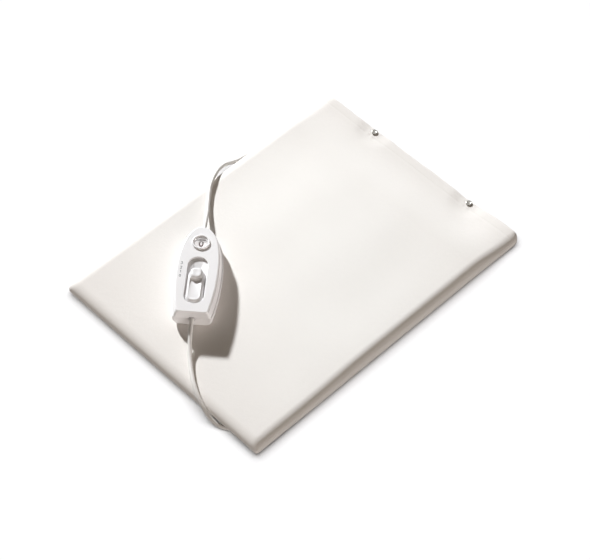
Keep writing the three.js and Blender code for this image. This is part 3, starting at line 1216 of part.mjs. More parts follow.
// Places on the hank, by turn: in on the lower layer, up along one run, and out on the upper layer.
function hankPath() {
  const low = CORD_RADIUS + WELD;
  const waistLift = TIE_WALL + 2 * GAP;
  const total = HANK_TURNS_IN + HANK_CLIMB_TURN + HANK_TURNS_OUT;
  const count = Math.round(total * HANK_STEPS);
  return Array.from({ length: count + 1 }, (_, i) => {
    const turn = i / HANK_STEPS;
    const inward = Math.min(turn, HANK_TURNS_IN);
    const outward = Math.max(0, turn - HANK_TURNS_IN - HANK_CLIMB_TURN);
    const radius = HANK_OUTER - HANK_PITCH * (inward - outward);
    const climb = THREE.MathUtils.smoothstep(turn, HANK_TURNS_IN, HANK_TURNS_IN + HANK_CLIMB_TURN);
    const quarter = (turn % 1) * 4;
    const share = quarter % 1;
    const angle = Math.PI * share;
    const half = HANK_RUN / 2;
    let [x, y] = [mix(-half, half, share), -radius];
    if (quarter >= 1 && quarter < 2) [x, y] = [half + radius * Math.sin(angle), -radius * Math.cos(angle)];
    if (quarter >= 2 && quarter < 3) [x, y] = [mix(half, -half, share), radius];
    if (quarter >= 3) [x, y] = [-half - radius * Math.sin(angle), radius * Math.cos(angle)];
    const waist = Math.abs(x) < half ? Math.cos((Math.PI * x) / HANK_RUN) ** 2 : 0;
    y *= mix(1, HANK_WAIST_SHARE, waist);
    return new THREE.Vector3(HANK_X + x, HANK_Y + y, low + LAYER_STEP * climb + waistLift * waist);
  });
}

// Least gap between parts of a tube that lie more than a bend apart along it.
function leastGap(points, radius) {
  let least = Infinity;
  let away = 0;
  const along = points.map((p, i) => (i === 0 ? 0 : (away += p.distanceTo(points[i - 1]))));
  const line = new THREE.Line3();
  const near = new THREE.Vector3();
  points.forEach((p, i) => {
    for (let j = i + 1; j + 1 < points.length; j += 1) {
      if (along[j] - along[i] < 2 * HANK_FOLD) continue;
      line.set(points[j], points[j + 1]);
      line.closestPointToPoint(p, true, near);
      least = Math.min(least, near.distanceTo(p) - 2 * radius);
    }
  });
  return least;
}

// A tube of rings joined one to the next along the points, each ring square to the path.
function woundTube(points, radius, sides) {
  const up = new THREE.Vector3(0, 0, 1);
  const rings = points.map((p, i) => {
    const next = points[Math.min(i + 1, points.length - 1)];
    const ahead = next.clone().sub(points[Math.max(i - 1, 0)]).normalize();
    const across = up.clone().cross(ahead).normalize();
    const over = ahead.clone().cross(across);
    return Array.from({ length: sides }, (_, k) => {
      const angle = (2 * Math.PI * k) / sides;
      const [side, rise] = [radius * Math.cos(angle), radius * Math.sin(angle)];
      return p.clone().addScaledVector(across, side).addScaledVector(over, rise);
    });
  });
  const index = [];
  for (let r = 0; r + 1 < rings.length; r += 1) {
    for (let k = 0; k < sides; k += 1) {
      const [a, b] = [r * sides + k, r * sides + ((k + 1) % sides)];
      index.push(a, b, b + sides, a, b + sides, a + sides);
    }
  }
  const last = (rings.length - 1) * sides;
  for (let k = 1; k + 1 < sides; k += 1) {
    index.push(0, k + 1, k, last, last + k, last + k + 1);
  }
  const geometry = new THREE.BufferGeometry();
  const positions = rings.flat().flatMap((p) => [p.x, p.y, p.z]);
  geometry.setAttribute('position', new THREE.Float32BufferAttribute(positions, 3));
  geometry.setIndex(index);
  return geometry;
}

function hank() {
  const turns = hankPath();
  console.log(`hank: least gap ${leastGap(turns, CORD_RADIUS).toFixed(2)} mm`);
  const halfTall = (LAYER_STEP + CORD_DIAMETER) / 2;
  const middleZ = TIE_WALL + 2 * GAP + halfTall;
  const halfWide = HANK_OUTER * HANK_WAIST_SHARE + CORD_RADIUS;
  const wrap = (halfLong, grow) => box(HANK_X - halfLong, HANK_X + halfLong,
    HANK_Y - halfWide - grow, HANK_Y + halfWide + grow, middleZ - halfTall - grow, middleZ + halfTall + grow);
  const tie = shaped(wrap(TIE_WIDTH / 2, GAP + TIE_WALL), [], [wrap(TIE_WIDTH / 2 + OVERRUN, GAP)]);
  return [
    named('mains_cord_hank', woundTube(turns, CORD_RADIUS, HANK_SIDES), CORD_PLASTIC()),
    named('hank_tie', tie, finish('#3a3a3c', 0.6)),
  ];
}

function plug() {
  const [tail, full] = [PLUG_TAIL_WIDTH / 2 - PLUG_EDGE, PLUG_WIDTH / 2 - PLUG_EDGE];
  const shoulder = PLUG_LENGTH - PLUG_SHOULDER;
  const outline = new THREE.Shape();
  outline.moveTo(PLUG_EDGE, -tail);
  outline.quadraticCurveTo(shoulder * PLUG_WAIST_SHARE, -tail, shoulder, -full);
  outline.lineTo(PLUG_LENGTH - PLUG_EDGE, -full);
  outline.lineTo(PLUG_LENGTH - PLUG_EDGE, full);
  outline.lineTo(shoulder, full);
  outline.quadraticCurveTo(shoulder * PLUG_WAIST_SHARE, tail, PLUG_EDGE, tail);
  outline.closePath();
  const body = new THREE.ExtrudeGeometry(outline, {
    depth: PLUG_HEIGHT - 2 * PLUG_EDGE,
    bevelThickness: PLUG_EDGE,
    bevelSize: PLUG_EDGE,
    bevelSegments: 2,
    curveSegments: 5,
  }).translate(0, 0, PLUG_EDGE - PLUG_HEIGHT / 2);
  const ribs = ribbedTaper(RELIEF_LENGTH, RELIEF_ROOT_RADIUS, RELIEF_TIP_RADIUS, RELIEF_RIBS, RELIEF_GROOVE);
  const relief = turned(ribs).rotateY(-Math.PI / 2);
  const core = barAlongX(-RELIEF_LENGTH / 2, 2 * PLUG_EDGE, 0, 0, RELIEF_TIP_RADIUS - RELIEF_GROOVE);
  const pinYs = [-PIN_SPACING / 2, PIN_SPACING / 2];
  const sockets = pinYs.map((y) =>
    barAlongX(PLUG_LENGTH - PIN_ROOT, PLUG_LENGTH + OVERRUN, y, 0, PIN_RADIUS + GAP));
  const z = PLUG_HEIGHT / 2 + WELD;
  const seat = (geometry) => geometry.translate(PLUG_BODY_X, PLUG_Y, z);
  const pins = pinYs.map((y, i) => {
    const x0 = PLUG_LENGTH - PIN_ROOT + GAP;
    const tip = PIN_LENGTH + PIN_ROOT - GAP;
    const outline = [[0, 0], [PIN_RADIUS, 0], [PIN_RADIUS, tip - PIN_RADIUS], [PIN_RADIUS / 2, tip], [0, tip]];
    const pin = turned(outline).rotateY(Math.PI / 2);
    return named(`plug_pin_${i + 1}`, seat(pin.translate(x0, y, 0)), NICKEL());
  });
  return [named('plug_body', seat(shaped(body, [relief, core], sockets)), WHITE_PLASTIC()), ...pins];
}

function cords() {
  return [
    named('mains_cord_run', tube(MAINS_ROUTE, CORD_RADIUS, CORD_SIDES, CORD_STEP), CORD_PLASTIC()),
    named('mains_cord_tail', tube(TAIL_ROUTE, CORD_RADIUS, CORD_SIDES, CORD_STEP), CORD_PLASTIC()),
    named('pad_cord', tube(PAD_CORD_ROUTE, CORD_RADIUS, CORD_SIDES, CORD_STEP), CORD_PLASTIC()),
  ];
}

const controller = new THREE.Group();
controller.position.set(CONTROLLER_X, CONTROLLER_Y, PAD_TOP);
controller.rotation.z = THREE.MathUtils.degToRad(CONTROLLER_TURN);
controller.add(upperShell(), lowerShell(), ...windowPieces(), slideKnob(), slideCarrier(), detentSpring(),
  contactWiper(), levelDrum(), drumAxle(), ...boardAndParts(), ...fasteners(), ...bushes());

const group = new THREE.Group();
group.add(...coverPanels(), ...fillings(), heatingWire(), ...padElectrics(),
  ...studPlaces().flatMap((y, i) => pressStud(y, i + 1)), controller, ...cords(), ...hank(), ...plug());

export default group;
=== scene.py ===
"""Heating pad with a slide controller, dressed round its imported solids.

Lengths are in millimetres until a mesh is made.
"""

import json
import logging
import math
from dataclasses import dataclass, field
from enum import Enum
from functools import reduce
from typing import Callable, Sequence

import bmesh
import bpy
import numpy as np
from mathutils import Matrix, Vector

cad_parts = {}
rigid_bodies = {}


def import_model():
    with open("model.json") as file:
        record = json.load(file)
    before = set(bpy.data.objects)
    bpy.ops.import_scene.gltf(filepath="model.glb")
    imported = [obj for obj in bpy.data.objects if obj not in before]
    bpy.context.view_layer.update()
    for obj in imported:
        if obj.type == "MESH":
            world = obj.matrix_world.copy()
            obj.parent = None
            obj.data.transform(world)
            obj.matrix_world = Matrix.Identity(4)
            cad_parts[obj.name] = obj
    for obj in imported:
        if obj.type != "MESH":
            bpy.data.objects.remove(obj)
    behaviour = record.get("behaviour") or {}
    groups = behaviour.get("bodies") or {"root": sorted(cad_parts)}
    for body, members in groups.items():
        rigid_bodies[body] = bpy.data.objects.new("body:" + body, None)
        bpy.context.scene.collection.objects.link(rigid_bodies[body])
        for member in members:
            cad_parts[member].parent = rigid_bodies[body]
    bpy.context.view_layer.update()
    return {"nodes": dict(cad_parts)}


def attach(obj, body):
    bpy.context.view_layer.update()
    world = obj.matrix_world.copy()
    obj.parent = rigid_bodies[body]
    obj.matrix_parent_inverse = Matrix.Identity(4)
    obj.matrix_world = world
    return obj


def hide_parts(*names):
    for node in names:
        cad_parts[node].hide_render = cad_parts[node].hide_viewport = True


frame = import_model()

MM = 0.001
SEAM = 1e-6  # metres: corners of a new surface that lie closer are joined
SOLID_SEAM = 2e-6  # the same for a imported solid
COAT_ROUGHNESS = 0.12
SHEEN_ROUGHNESS = 0.6
REFRACTION = 1.46
LOG = logging.getLogger("heating_pad")


class Body(Enum):
    """The bodies that pieces ride on."""

    PAD = "pad"
    SLIDE = "slide"
    DRUM = "level_drum"


# ---------------------------------------------------------------- numbers and surfaces


def mix(start: np.ndarray | float, end: np.ndarray | float, share: np.ndarray | float) -> np.ndarray | float:
    """Return the value that lies at a share of the way from start to end."""
    return start + (end - start) * share


def fade(distance: np.ndarray, reach: float) -> np.ndarray:
    """Half a cosine wave that is 1 up to a distance of 0 and 0 from the reach on."""
    return (1 + np.cos(np.pi * np.clip(distance / reach, 0, 1))) / 2


def round_edge(distance: np.ndarray, reach: float) -> np.ndarray:
    """Quarter of an ellipse that climbs from 0 at the rim to 1 at the reach."""
    return np.sqrt(1 - (1 - np.clip(distance / reach, 0, 1)) ** 2)


def bump(distance: np.ndarray, spread: float) -> np.ndarray:
    """Bell curve exp(-(distance / spread) squared)."""
    return np.exp(-((distance / spread) ** 2))


def smooth_min(a: np.ndarray, b: np.ndarray, blend: float) -> np.ndarray:
    """The smaller of two heights, rounded off where they differ by less than the blend."""
    near = np.maximum(blend - np.abs(a - b), 0) / blend
    return np.minimum(a, b) - near**2 * blend / 4


def ripple(x: np.ndarray, y: np.ndarray, waves: Sequence[tuple[float, float, float]]) -> np.ndarray:
    """Mean of plane sine waves, each given by its length, its direction in degrees and its phase.

    Args:
        x: places along the pad.
        y: places across the pad.
        waves: wave length, direction and phase of each wave.

    Returns:
        Values from -1 to 1.
    """
    length, turn, phase = (np.array(part)[:, None, None] for part in zip(*waves))
    along = x * np.cos(np.radians(turn)) + y * np.sin(np.radians(turn))
    return np.mean(np.sin(2 * np.pi * along / length + phase), axis=0)


def spaced(start: float, end: float, step: float, fine: float, centres: Sequence[float],
           reach: float) -> np.ndarray:
    """Places from start to end that lie closer together round some centres.

    The density of places is integrated, and equal parts of the integral give the places.

    Args:
        start: first place.
        end: last place.
        step: usual distance between two places.
        fine: distance near a centre.
        centres: where the places lie close.
        reach: how far from a centre that goes.

    Returns:
        The places in order.
    """
    probe = np.linspace(start, end, 4001)
    density = np.full_like(probe, 1 / step)
    for centre in centres:
        density += (1 / fine - 1 / step) * fade(np.abs(probe - centre) - reach, reach)
    total = np.concatenate([[0], np.cumsum((density[1:] + density[:-1]) / 2 * np.diff(probe))])
    return np.interp(np.linspace(0, total[-1], round(total[-1]) + 1), total, probe)


def through(points: Sequence[Sequence[float]], step: float) -> np.ndarray:
    """Smooth line through points: a Catmull-Rom curve, sampled at equal steps.

    Args:
        points: the points that the line passes through.
        step: distance between two samples.

    Returns:
        The samples, one row each.
    """
    given = np.asarray(points, float)
    ends = np.vstack([2 * given[0] - given[1], given, 2 * given[-1] - given[-2]])
    before, here, there, after = ends[:-3], ends[1:-2], ends[2:-1], ends[3:]
    t = np.linspace(0, 1, 24, endpoint=False)[None, :, None]
    before, here, there, after = (part[:, None, :] for part in (before, here, there, after))
    curve = 0.5 * (2 * here + (there - before) * t + (2 * before - 5 * here + 4 * there - after) * t**2
                   + (3 * here - before - 3 * there + after) * t**3)
    line = np.vstack([curve.reshape(-1, given.shape[1]), given[-1:]])
    length = np.concatenate([[0], np.cumsum(np.linalg.norm(np.diff(line, axis=0), axis=1))])
    places = np.linspace(0, length[-1], max(2, round(length[-1] / step)) + 1)
    return np.stack([np.interp(places, length, line[:, k]) for k in range(line.shape[1])], axis=1)


def weld(mesh: bpy.types.Mesh, distance: float, outwards: bool) -> bpy.types.Mesh:
    """Join the corners of a mesh that lie close together.

    Args:
        mesh: the mesh to change.
        distance: how close, in metres.
        outwards: whether the faces are then turned outwards.

    Returns:
        The same mesh.
    """
    work = bmesh.new()
    work.from_mesh(mesh)
    bmesh.ops.remove_doubles(work, verts=work.verts, dist=distance)
    if outwards:
        bmesh.ops.recalc_face_normals(work, faces=work.faces)
    work.to_mesh(mesh)
    work.free()
    return mesh


@dataclass
class Surface:
    """Corner points in millimetres, one row each, and the faces between them."""

    points: np.ndarray
    faces: list[list[int]]

    @staticmethod
    def from_rings(rings: np.ndarray, around: bool = True, along: bool = False,
                   caps: bool = True) -> "Surface":
        """Quads between neighbouring rings of equal size, with a fan of triangles over each open end.

        Args:
            rings: array of rings by points by 3.
            around: whether each ring closes on itself.
            along: whether the last ring joins the first.
            caps: whether the two ends are closed.

        Returns:
            The surface.
        """
        count, size = rings.shape[:2]
        index = np.arange(count * size).reshape(count, size)
        near = index if along else index[:-1]
        far = np.roll(index, -1, axis=0) if along else index[1:]
        if around:
            quads = np.stack([near, far, np.roll(far, -1, axis=1), np.roll(near, -1, axis=1)], axis=-1)
        else:
            quads = np.stack([near[:, :-1], far[:, :-1], far[:, 1:], near[:, 1:]], axis=-1)
        points = rings.reshape(-1, 3)
        faces = quads.reshape(-1, 4).tolist()
        if caps and not along:
            middles = [rings[0].mean(axis=0), rings[-1].mean(axis=0)]
            for end, ring in enumerate((index[0][::-1], index[-1])):
                hub = np.full(size, count * size + end)
                faces += np.stack([ring, np.roll(ring, -1), hub], axis=1).tolist()
            points = np.vstack([points, middles])
        return Surface(points, faces)

    def joined(self, other: "Surface") -> "Surface":
        """Return both surfaces as one."""
        shift = len(self.points)
        moved = [[corner + shift for corner in face] for face in other.faces]
        return Surface(np.vstack([self.points, other.points]), self.faces + moved)

    def placed(self, origin: Sequence[float], turn: float = 0.0, forward: bool = False) -> "Surface":
        """Turn the surface about the vertical and move it.

        Args:
            origin: where its own origin goes.
            turn: angle in degrees.
            forward: whether its vertical axis is first laid along x.

        Returns:
            The moved surface.
        """
        points = self.points[:, [2, 0, 1]] if forward else self.points
        c, s = math.cos(math.radians(turn)), math.sin(math.radians(turn))
        matrix = np.array([[c, -s, 0], [s, c, 0], [0, 0, 1]])
        return Surface(points @ matrix.T + np.asarray(origin, float), self.faces)

    def mesh(self, name: str) -> bpy.types.Mesh:
        """Make a mesh in metres with its seams closed and its faces turned outwards."""
        mesh = bpy.data.meshes.new(name)
        mesh.from_pydata((self.points * MM).tolist(), [], self.faces)
        return weld(mesh, SEAM, True)


def lathe(profile: Sequence[Sequence[float]], sides: int = 96, ring: bool = False) -> Surface:
    """Turn a profile of radius and height about the vertical.

    Args:
        profile: pairs of radius and height, from axis to axis or round a ring's section.
        sides: steps of the full turn.
        ring: whether the profile closes on itself.

    Returns:
        The turned surface.
    """
    radius, height = np.asarray(profile, float).T
    angle = np.linspace(0, 2 * np.pi, sides, endpoint=False)
    rings = np.stack([radius[:, None] * np.cos(angle), radius[:, None] * np.sin(angle),
                      np.repeat(height[:, None], sides, axis=1)], axis=-1)
    return Surface.from_rings(rings, along=ring, caps=not ring)


def tube(path: np.ndarray, radius: np.ndarray | float, sides: int = 20) -> Surface:
    """Carry a circle along a path, upright against the vertical.

    Args:
        path: points of the centre line.
        radius: one radius, or one for each point.
        sides: corners of the circle.

    Returns:
        The closed tube.
    """
    tangent = np.gradient(path, axis=0)
    tangent /= np.linalg.norm(tangent, axis=1, keepdims=True)
    side = np.cross([0.0, 0.0, 1.0], tangent)
    side /= np.linalg.norm(side, axis=1, keepdims=True)
    up = np.cross(tangent, side)
    angle = np.linspace(0, 2 * np.pi, sides, endpoint=False)[None, :, None]
    size = np.broadcast_to(np.asarray(radius, float), (len(path),))[:, None, None]
    circle = side[:, None] * np.cos(angle) + up[:, None] * np.sin(angle)
    return Surface.from_rings(path[:, None] + size * circle)


def stadium(start: float, end: float, half: float, straight: int, arc: int) -> np.ndarray:
    """Outline with two straight sides and two half-round ends, symmetrical in y.

    Args:
        start: smallest x.
        end: largest x.
        half: half width.
        straight: steps of each straight side.
        arc: steps of each end.

    Returns:
        Rows of x and y.
    """
    left, right = start + half, end - half
    turn = np.linspace(-np.pi / 2, np.pi / 2, arc, endpoint=False)
    line = np.linspace(left, right, straight, endpoint=False)
    back = (left + right) - line
    parts = [
        np.stack([line, np.full_like(line, -half)], axis=1),
        np.stack([right + half * np.cos(turn), half * np.sin(turn)], axis=1),
        np.stack([back, np.full_like(line, half)], axis=1),
        np.stack([left - half * np.cos(turn), -half * np.sin(turn)], axis=1),
    ]
    return np.vstack(parts)


def level(outline: np.ndarray, height: float) -> np.ndarray:
    """Lift an outline of x and y to a height."""
    return np.column_stack([outline, np.full(len(outline), height)])


# ---------------------------------------------------------------- finishes


class Socket:
    """Output of a shader node; arithmetic on it adds Math nodes."""

    def __init__(self, graph: "Graph", output: bpy.types.NodeSocket) -> None:
        """Keep the node graph and the output."""
        self.graph = graph
        self.output = output

    def _math(self, operation: str, *values: "Socket | float") -> "Socket":
        """Add a Math node of this operation."""
        return self.graph.node("ShaderNodeMath", {"operation": operation}, dict(enumerate(values)))

    def __add__(self, other: "Socket | float") -> "Socket":
        """Return the sum."""
        return self._math("ADD", self, other)

    def __sub__(self, other: "Socket | float") -> "Socket":
        """Return the difference."""
        return self._math("SUBTRACT", self, other)

    def __rsub__(self, other: float) -> "Socket":
        """Return a number less this."""
        return self._math("SUBTRACT", other, self)

    def __mul__(self, other: "Socket | float") -> "Socket":
        """Return the product."""
        return self._math("MULTIPLY", self, other)

    def __pow__(self, other: float) -> "Socket":
        """Return the power."""
        return self._math("POWER", self, other)

    def maximum(self, other: "Socket | float") -> "Socket":
        """Return the larger value."""
        return self._math("MAXIMUM", self, other)

    __radd__ = __add__
    __rmul__ = __mul__


class Graph:
    """Node tree of a material or of the world."""

    def __init__(self, owner: bpy.types.ID) -> None:
        """Empty the owner's tree and keep it."""
        owner.use_nodes = True
        self.tree = owner.node_tree
        self.tree.nodes.clear()

    def node(self, kind: str, settings: dict | None = None, values: dict | None = None,
             out: int | str = 0) -> Socket:
        """Add a node.

        Args:
            kind: the node's type.
            settings: its own settings, set before its sockets.
            values: values or links of its sockets, by name or place.
            out: which output is wanted.

        Returns:
            That output.
        """
        made = self.tree.nodes.new(kind)
        for key, value in (settings or {}).items():
            setattr(made, key, value)
        for key, value in (values or {}).items():
            if isinstance(value, Socket):
                self.tree.links.new(value.output, made.inputs[key])
            else:
                made.inputs[key].default_value = value
        return Socket(self, made.outputs[out]) if len(made.outputs) else Socket(self, None)

    def noise(self, per_metre: float, detail: float = 2.0, roughness: float = 0.5,
              stretch: tuple = (1, 1, 1)) -> Socket:
        """Noise on the piece's own coordinates.

        Args:
            per_metre: features in each metre.
            detail: octaves.
            roughness: weight of the finer octaves.
            stretch: scale of each axis.

        Returns:
            Values round one half.
        """
        place = self.node("ShaderNodeTexCoord", out="Object")
        place = self.node("ShaderNodeMapping", {}, {"Vector": place, "Scale": stretch})
        values = {"Vector": place, "Scale": per_metre, "Detail": detail, "Roughness": roughness}
        return self.node("ShaderNodeTexNoise", {}, values)

    def blend(self, share: Socket, first: tuple, second: tuple) -> Socket:
        """Colour between two colours."""
        values = {0: share, 6: (*first, 1), 7: (*second, 1)}
        return self.node("ShaderNodeMix", {"data_type": "RGBA"}, values, out=2)


@dataclass(frozen=True)
class Finish:
    """Moulded or machined finish: a colour that drifts a little, a gloss that wanders and a fine grain."""

    title: str
    colour: tuple[float, float, float]
    drift: tuple[float, float, float]
    roughness: float
    wander: float = 0.08
    grain: float = 900.0
    depth: float = 0.01
    metallic: float = 0.0
    coat: float = 0.0
    alpha: float = 1.0
    # painted light: emission that brightens a part no lamp reaches, though the part is no lamp
    painted_glow: float = 0.0
    sheen: float = 0.0
    slow: float = 40.0
    streak: tuple[float, float, float] = (1, 1, 1)

    def height(self, graph: Graph) -> Socket:
        """Return the surface's height pattern, about 0 to 1."""
        return graph.noise(self.grain, 3.0, 0.6, self.streak)

    def material(self) -> bpy.types.Material:
        """Build the material, or return the one that is there."""
        if self.title in bpy.data.materials:
            return bpy.data.materials[self.title]
        made = bpy.data.materials.new(self.title)
        graph = Graph(made)
        slow = graph.noise(self.slow, 3.0, 0.55)
        height = self.height(graph)
        tint = graph.blend(slow, self.colour, self.drift)
        gloss = (slow - 0.5) * (2 * self.wander) + self.roughness
        relief = {"Strength": 1.0, "Distance": self.depth * MM, "Height": height}
        normal = graph.node("ShaderNodeBump", {}, relief)
        values = {
            "Base Color": tint, "Roughness": gloss, "Metallic": self.metallic, "Normal": normal,
            "Coat Weight": self.coat, "Coat Roughness": COAT_ROUGHNESS, "Alpha": self.alpha,
            "IOR": REFRACTION, "Sheen Weight": self.sheen, "Sheen Roughness": SHEEN_ROUGHNESS,
            "Emission Color": (*self.colour, 1), "Emission Strength": self.painted_glow,
        }
        shader = graph.node("ShaderNodeBsdfPrincipled", {}, values)
        graph.node("ShaderNodeOutputMaterial", {}, {"Surface": shader})
        return made


@dataclass(frozen=True)
class Pile(Finish):
    """Brushed cloth: short fibres over slightly clumped pile."""

    def height(self, graph: Graph) -> Socket:
        """Return fibres on clumps."""
        fibres = graph.noise(self.grain, 4.0, 0.7)
        clumps = graph.noise(self.grain / 6, 2.0, 0.5)
        return fibres * 0.45 + clumps * 0.55


@dataclass(frozen=True)
class Weave(Finish):
    """Thin wire wound round a core: fine rings across the wire."""

    def height(self, graph: Graph) -> Socket:
        """Return a fine twisted grain."""
        return graph.noise(self.grain, 1.0, 0.3, (1, 1, 3))


FLEECE = Pile("brushed fleece", (0.86, 0.827, 0.795), (0.835, 0.805, 0.775),
              0.93, 0.03, 1300.0, 0.22, sheen=0.1, slow=30.0)
FELT = Pile("needled felt", (0.78, 0.74, 0.66), (0.7, 0.66, 0.58), 0.95, 0.03, 1100.0, 0.3, slow=60.0)
WHITE = Finish("white housing plastic", (0.82, 0.805, 0.81), (0.8, 0.785, 0.79),
               0.3, 0.05, 700.0, 0.006, coat=0.15)
# The drum's white glows: painted light in place of the light that comes in through the window.
DRUM_WHITE_PAINTED_LIGHT = Finish("drum plastic", (0.84, 0.82, 0.82), (0.8, 0.78, 0.78),
                    0.5, 0.05, 900.0, 0.005, painted_glow=0.62)
GREY = Finish("pale grey plastic", (0.66, 0.645, 0.65), (0.62, 0.6, 0.61), 0.4, 0.06, 800.0, 0.01)
CORD = Finish("soft cord sheath", (0.76, 0.735, 0.71), (0.72, 0.7, 0.675), 0.42, 0.07, 1400.0, 0.015)
NICKEL = Finish("nickelled steel", (0.36, 0.35, 0.325), (0.28, 0.27, 0.25),
                0.34, 0.1, 2200.0, 0.006, metallic=1.0, slow=300.0)
BRASS = Finish("rolled brass", (0.66, 0.48, 0.2), (0.55, 0.4, 0.17),
               0.32, 0.08, 1800.0, 0.006, metallic=1.0, slow=200.0)
LENS = Finish("clear window plastic", (0.93, 0.92, 0.92), (0.9, 0.89, 0.89),
              0.06, 0.02, 500.0, 0.002, coat=0.0, alpha=0.08)
BOARD = Finish("phenolic board", (0.42, 0.27, 0.12), (0.36, 0.22, 0.1),
               0.55, 0.08, 1300.0, 0.02, streak=(0.2, 1, 1))
WIRE = Weave("wound heating wire", (0.56, 0.45, 0.34), (0.48, 0.38, 0.28), 0.6, 0.08, 2400.0, 0.05)
YELLOW = Finish("dipped yellow case", (0.72, 0.5, 0.08), (0.64, 0.42, 0.06), 0.38, 0.06, 700.0, 0.02)
BLACK = Finish("black moulding", (0.022, 0.022, 0.024), (0.035, 0.034, 0.034), 0.45, 0.08, 1600.0, 0.02)
TAN = Finish("tan lacquer", (0.5, 0.36, 0.2), (0.44, 0.3, 0.16), 0.4, 0.06, 900.0, 0.02)
LAMP = Finish("amber lamp lens", (0.75, 0.25, 0.05), (0.68, 0.2, 0.04), 0.15, 0.04, 600.0, 0.004, coat=0.3)
TIE = Finish("black cord tie", (0.03, 0.03, 0.032), (0.05, 0.05, 0.05), 0.6, 0.08, 1800.0, 0.05)
INK = Finish("dark red print", (0.06, 0.012, 0.016), (0.08, 0.016, 0.02), 0.45, 0.06, 1500.0, 0.004)
PALE_INK = Finish("grey print", (0.16, 0.155, 0.16), (0.22, 0.21, 0.215), 0.5, 0.06, 1500.0, 0.004)


# ---------------------------------------------------------------- making pieces


def linked(name: str, data: bpy.types.ID) -> bpy.types.Object:
    """Put an object into the scene.

    Args:
        name: its name.
        data: its mesh, lamp or camera.

    Returns:
        The object.
    """
    made = bpy.data.objects.new(name, data)
    bpy.context.scene.collection.objects.link(made)
    return made


def piece(name: str, surface: Surface | bpy.types.Mesh, finish: Finish, body: Body,
          stands_for: Sequence[str] = (), crease: float = 40.0) -> bpy.types.Object:
    """Put a surface into the scene as one piece of the object.

    Args:
        name: the piece's name.
        surface: its surface in millimetres, or a finished mesh.
        finish: its finish.
        body: the body that it rides on.
        stands_for: solids that it replaces.
        crease: angle in degrees from which an edge stays sharp.

    Returns:
        The object.
    """
    mesh = surface.mesh(name) if isinstance(surface, Surface) else surface
    mesh.materials.clear()
    mesh.materials.append(finish.material())
    mesh.polygons.foreach_set("use_smooth", np.ones(len(mesh.polygons), bool))
    mesh.set_sharp_from_angle(angle=math.radians(crease))
    made = linked(name, mesh)
    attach(made, body.value)
    if stands_for:
        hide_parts(*stands_for)
    LOG.info("%s: %d faces", name, len(mesh.polygons))
    return made


def solid_copy(node: str) -> bpy.types.Mesh:
    """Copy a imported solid's mesh with its loose triangles joined.

    Args:
        node: the solid's name.

    Returns:
        The joined copy.
    """
    source = frame["nodes"][node]
    mesh = source.data.copy()
    mesh.transform(source.matrix_world)
    return weld(mesh, SOLID_SEAM, False)


def combined(base: bpy.types.Mesh, steps: Sequence[tuple[str, bpy.types.Mesh]]) -> bpy.types.Mesh:
    """Add solids to a mesh, cut them from it or keep what is common.

    Args:
        base: the mesh to start from.
        steps: pairs of operation and mesh, in order.

    Returns:
        The finished mesh.
    """
    work = linked("work", base)
    tools = [linked("tool", mesh) for _, mesh in steps]
    for (operation, _), tool in zip(steps, tools):
        change = work.modifiers.new(operation, "BOOLEAN")
        change.operation = operation
        change.solver = "MANIFOLD"
        change.object = tool
    shown = work.evaluated_get(bpy.context.evaluated_depsgraph_get())
    result = bpy.data.meshes.new_from_object(shown)
    for spare in (work, *tools):
        bpy.data.objects.remove(spare)
    return result


def bar(start: Sequence[float], end: Sequence[float], radius: float, sides: int = 48) -> Surface:
    """Round bar between two points that don't lie above each other."""
    return tube(np.array([start, end], float), radius, sides)


def post(x: float, y: float, bottom: float, top: float, radius: float, sides: int = 48) -> Surface:
    """Upright round bar."""
    return lathe([(radius, bottom), (radius, top)], sides).placed((x, y, 0))


# ---------------------------------------------------------------- studio


class Group(Enum):
    """What a lamp shines on."""

    OBJECT = "object in the light"
    FLOOR = "floor in the light"
    HOUSING = "housing in the light"


@dataclass(frozen=True)
class Spot:
    """Lamp with a cone, far off on the main lamp's side, that lights the object."""

    name: str
    power: float  # watts
    radius: float
    cone: float  # full angle in degrees
    blend: float  # share of the cone over which its light fades
    height: float  # of the cone, as a share of its width
    colour: tuple[float, float, float]


@dataclass(frozen=True)
class Sun:
    """Wide lamp that shines from one direction on one group of things."""

    name: str
    strength: float
    width: float  # degrees
    turn: float  # degrees from the pad's long side
    elevation: float  # degrees
    colour: tuple[float, float, float]
    group: Group


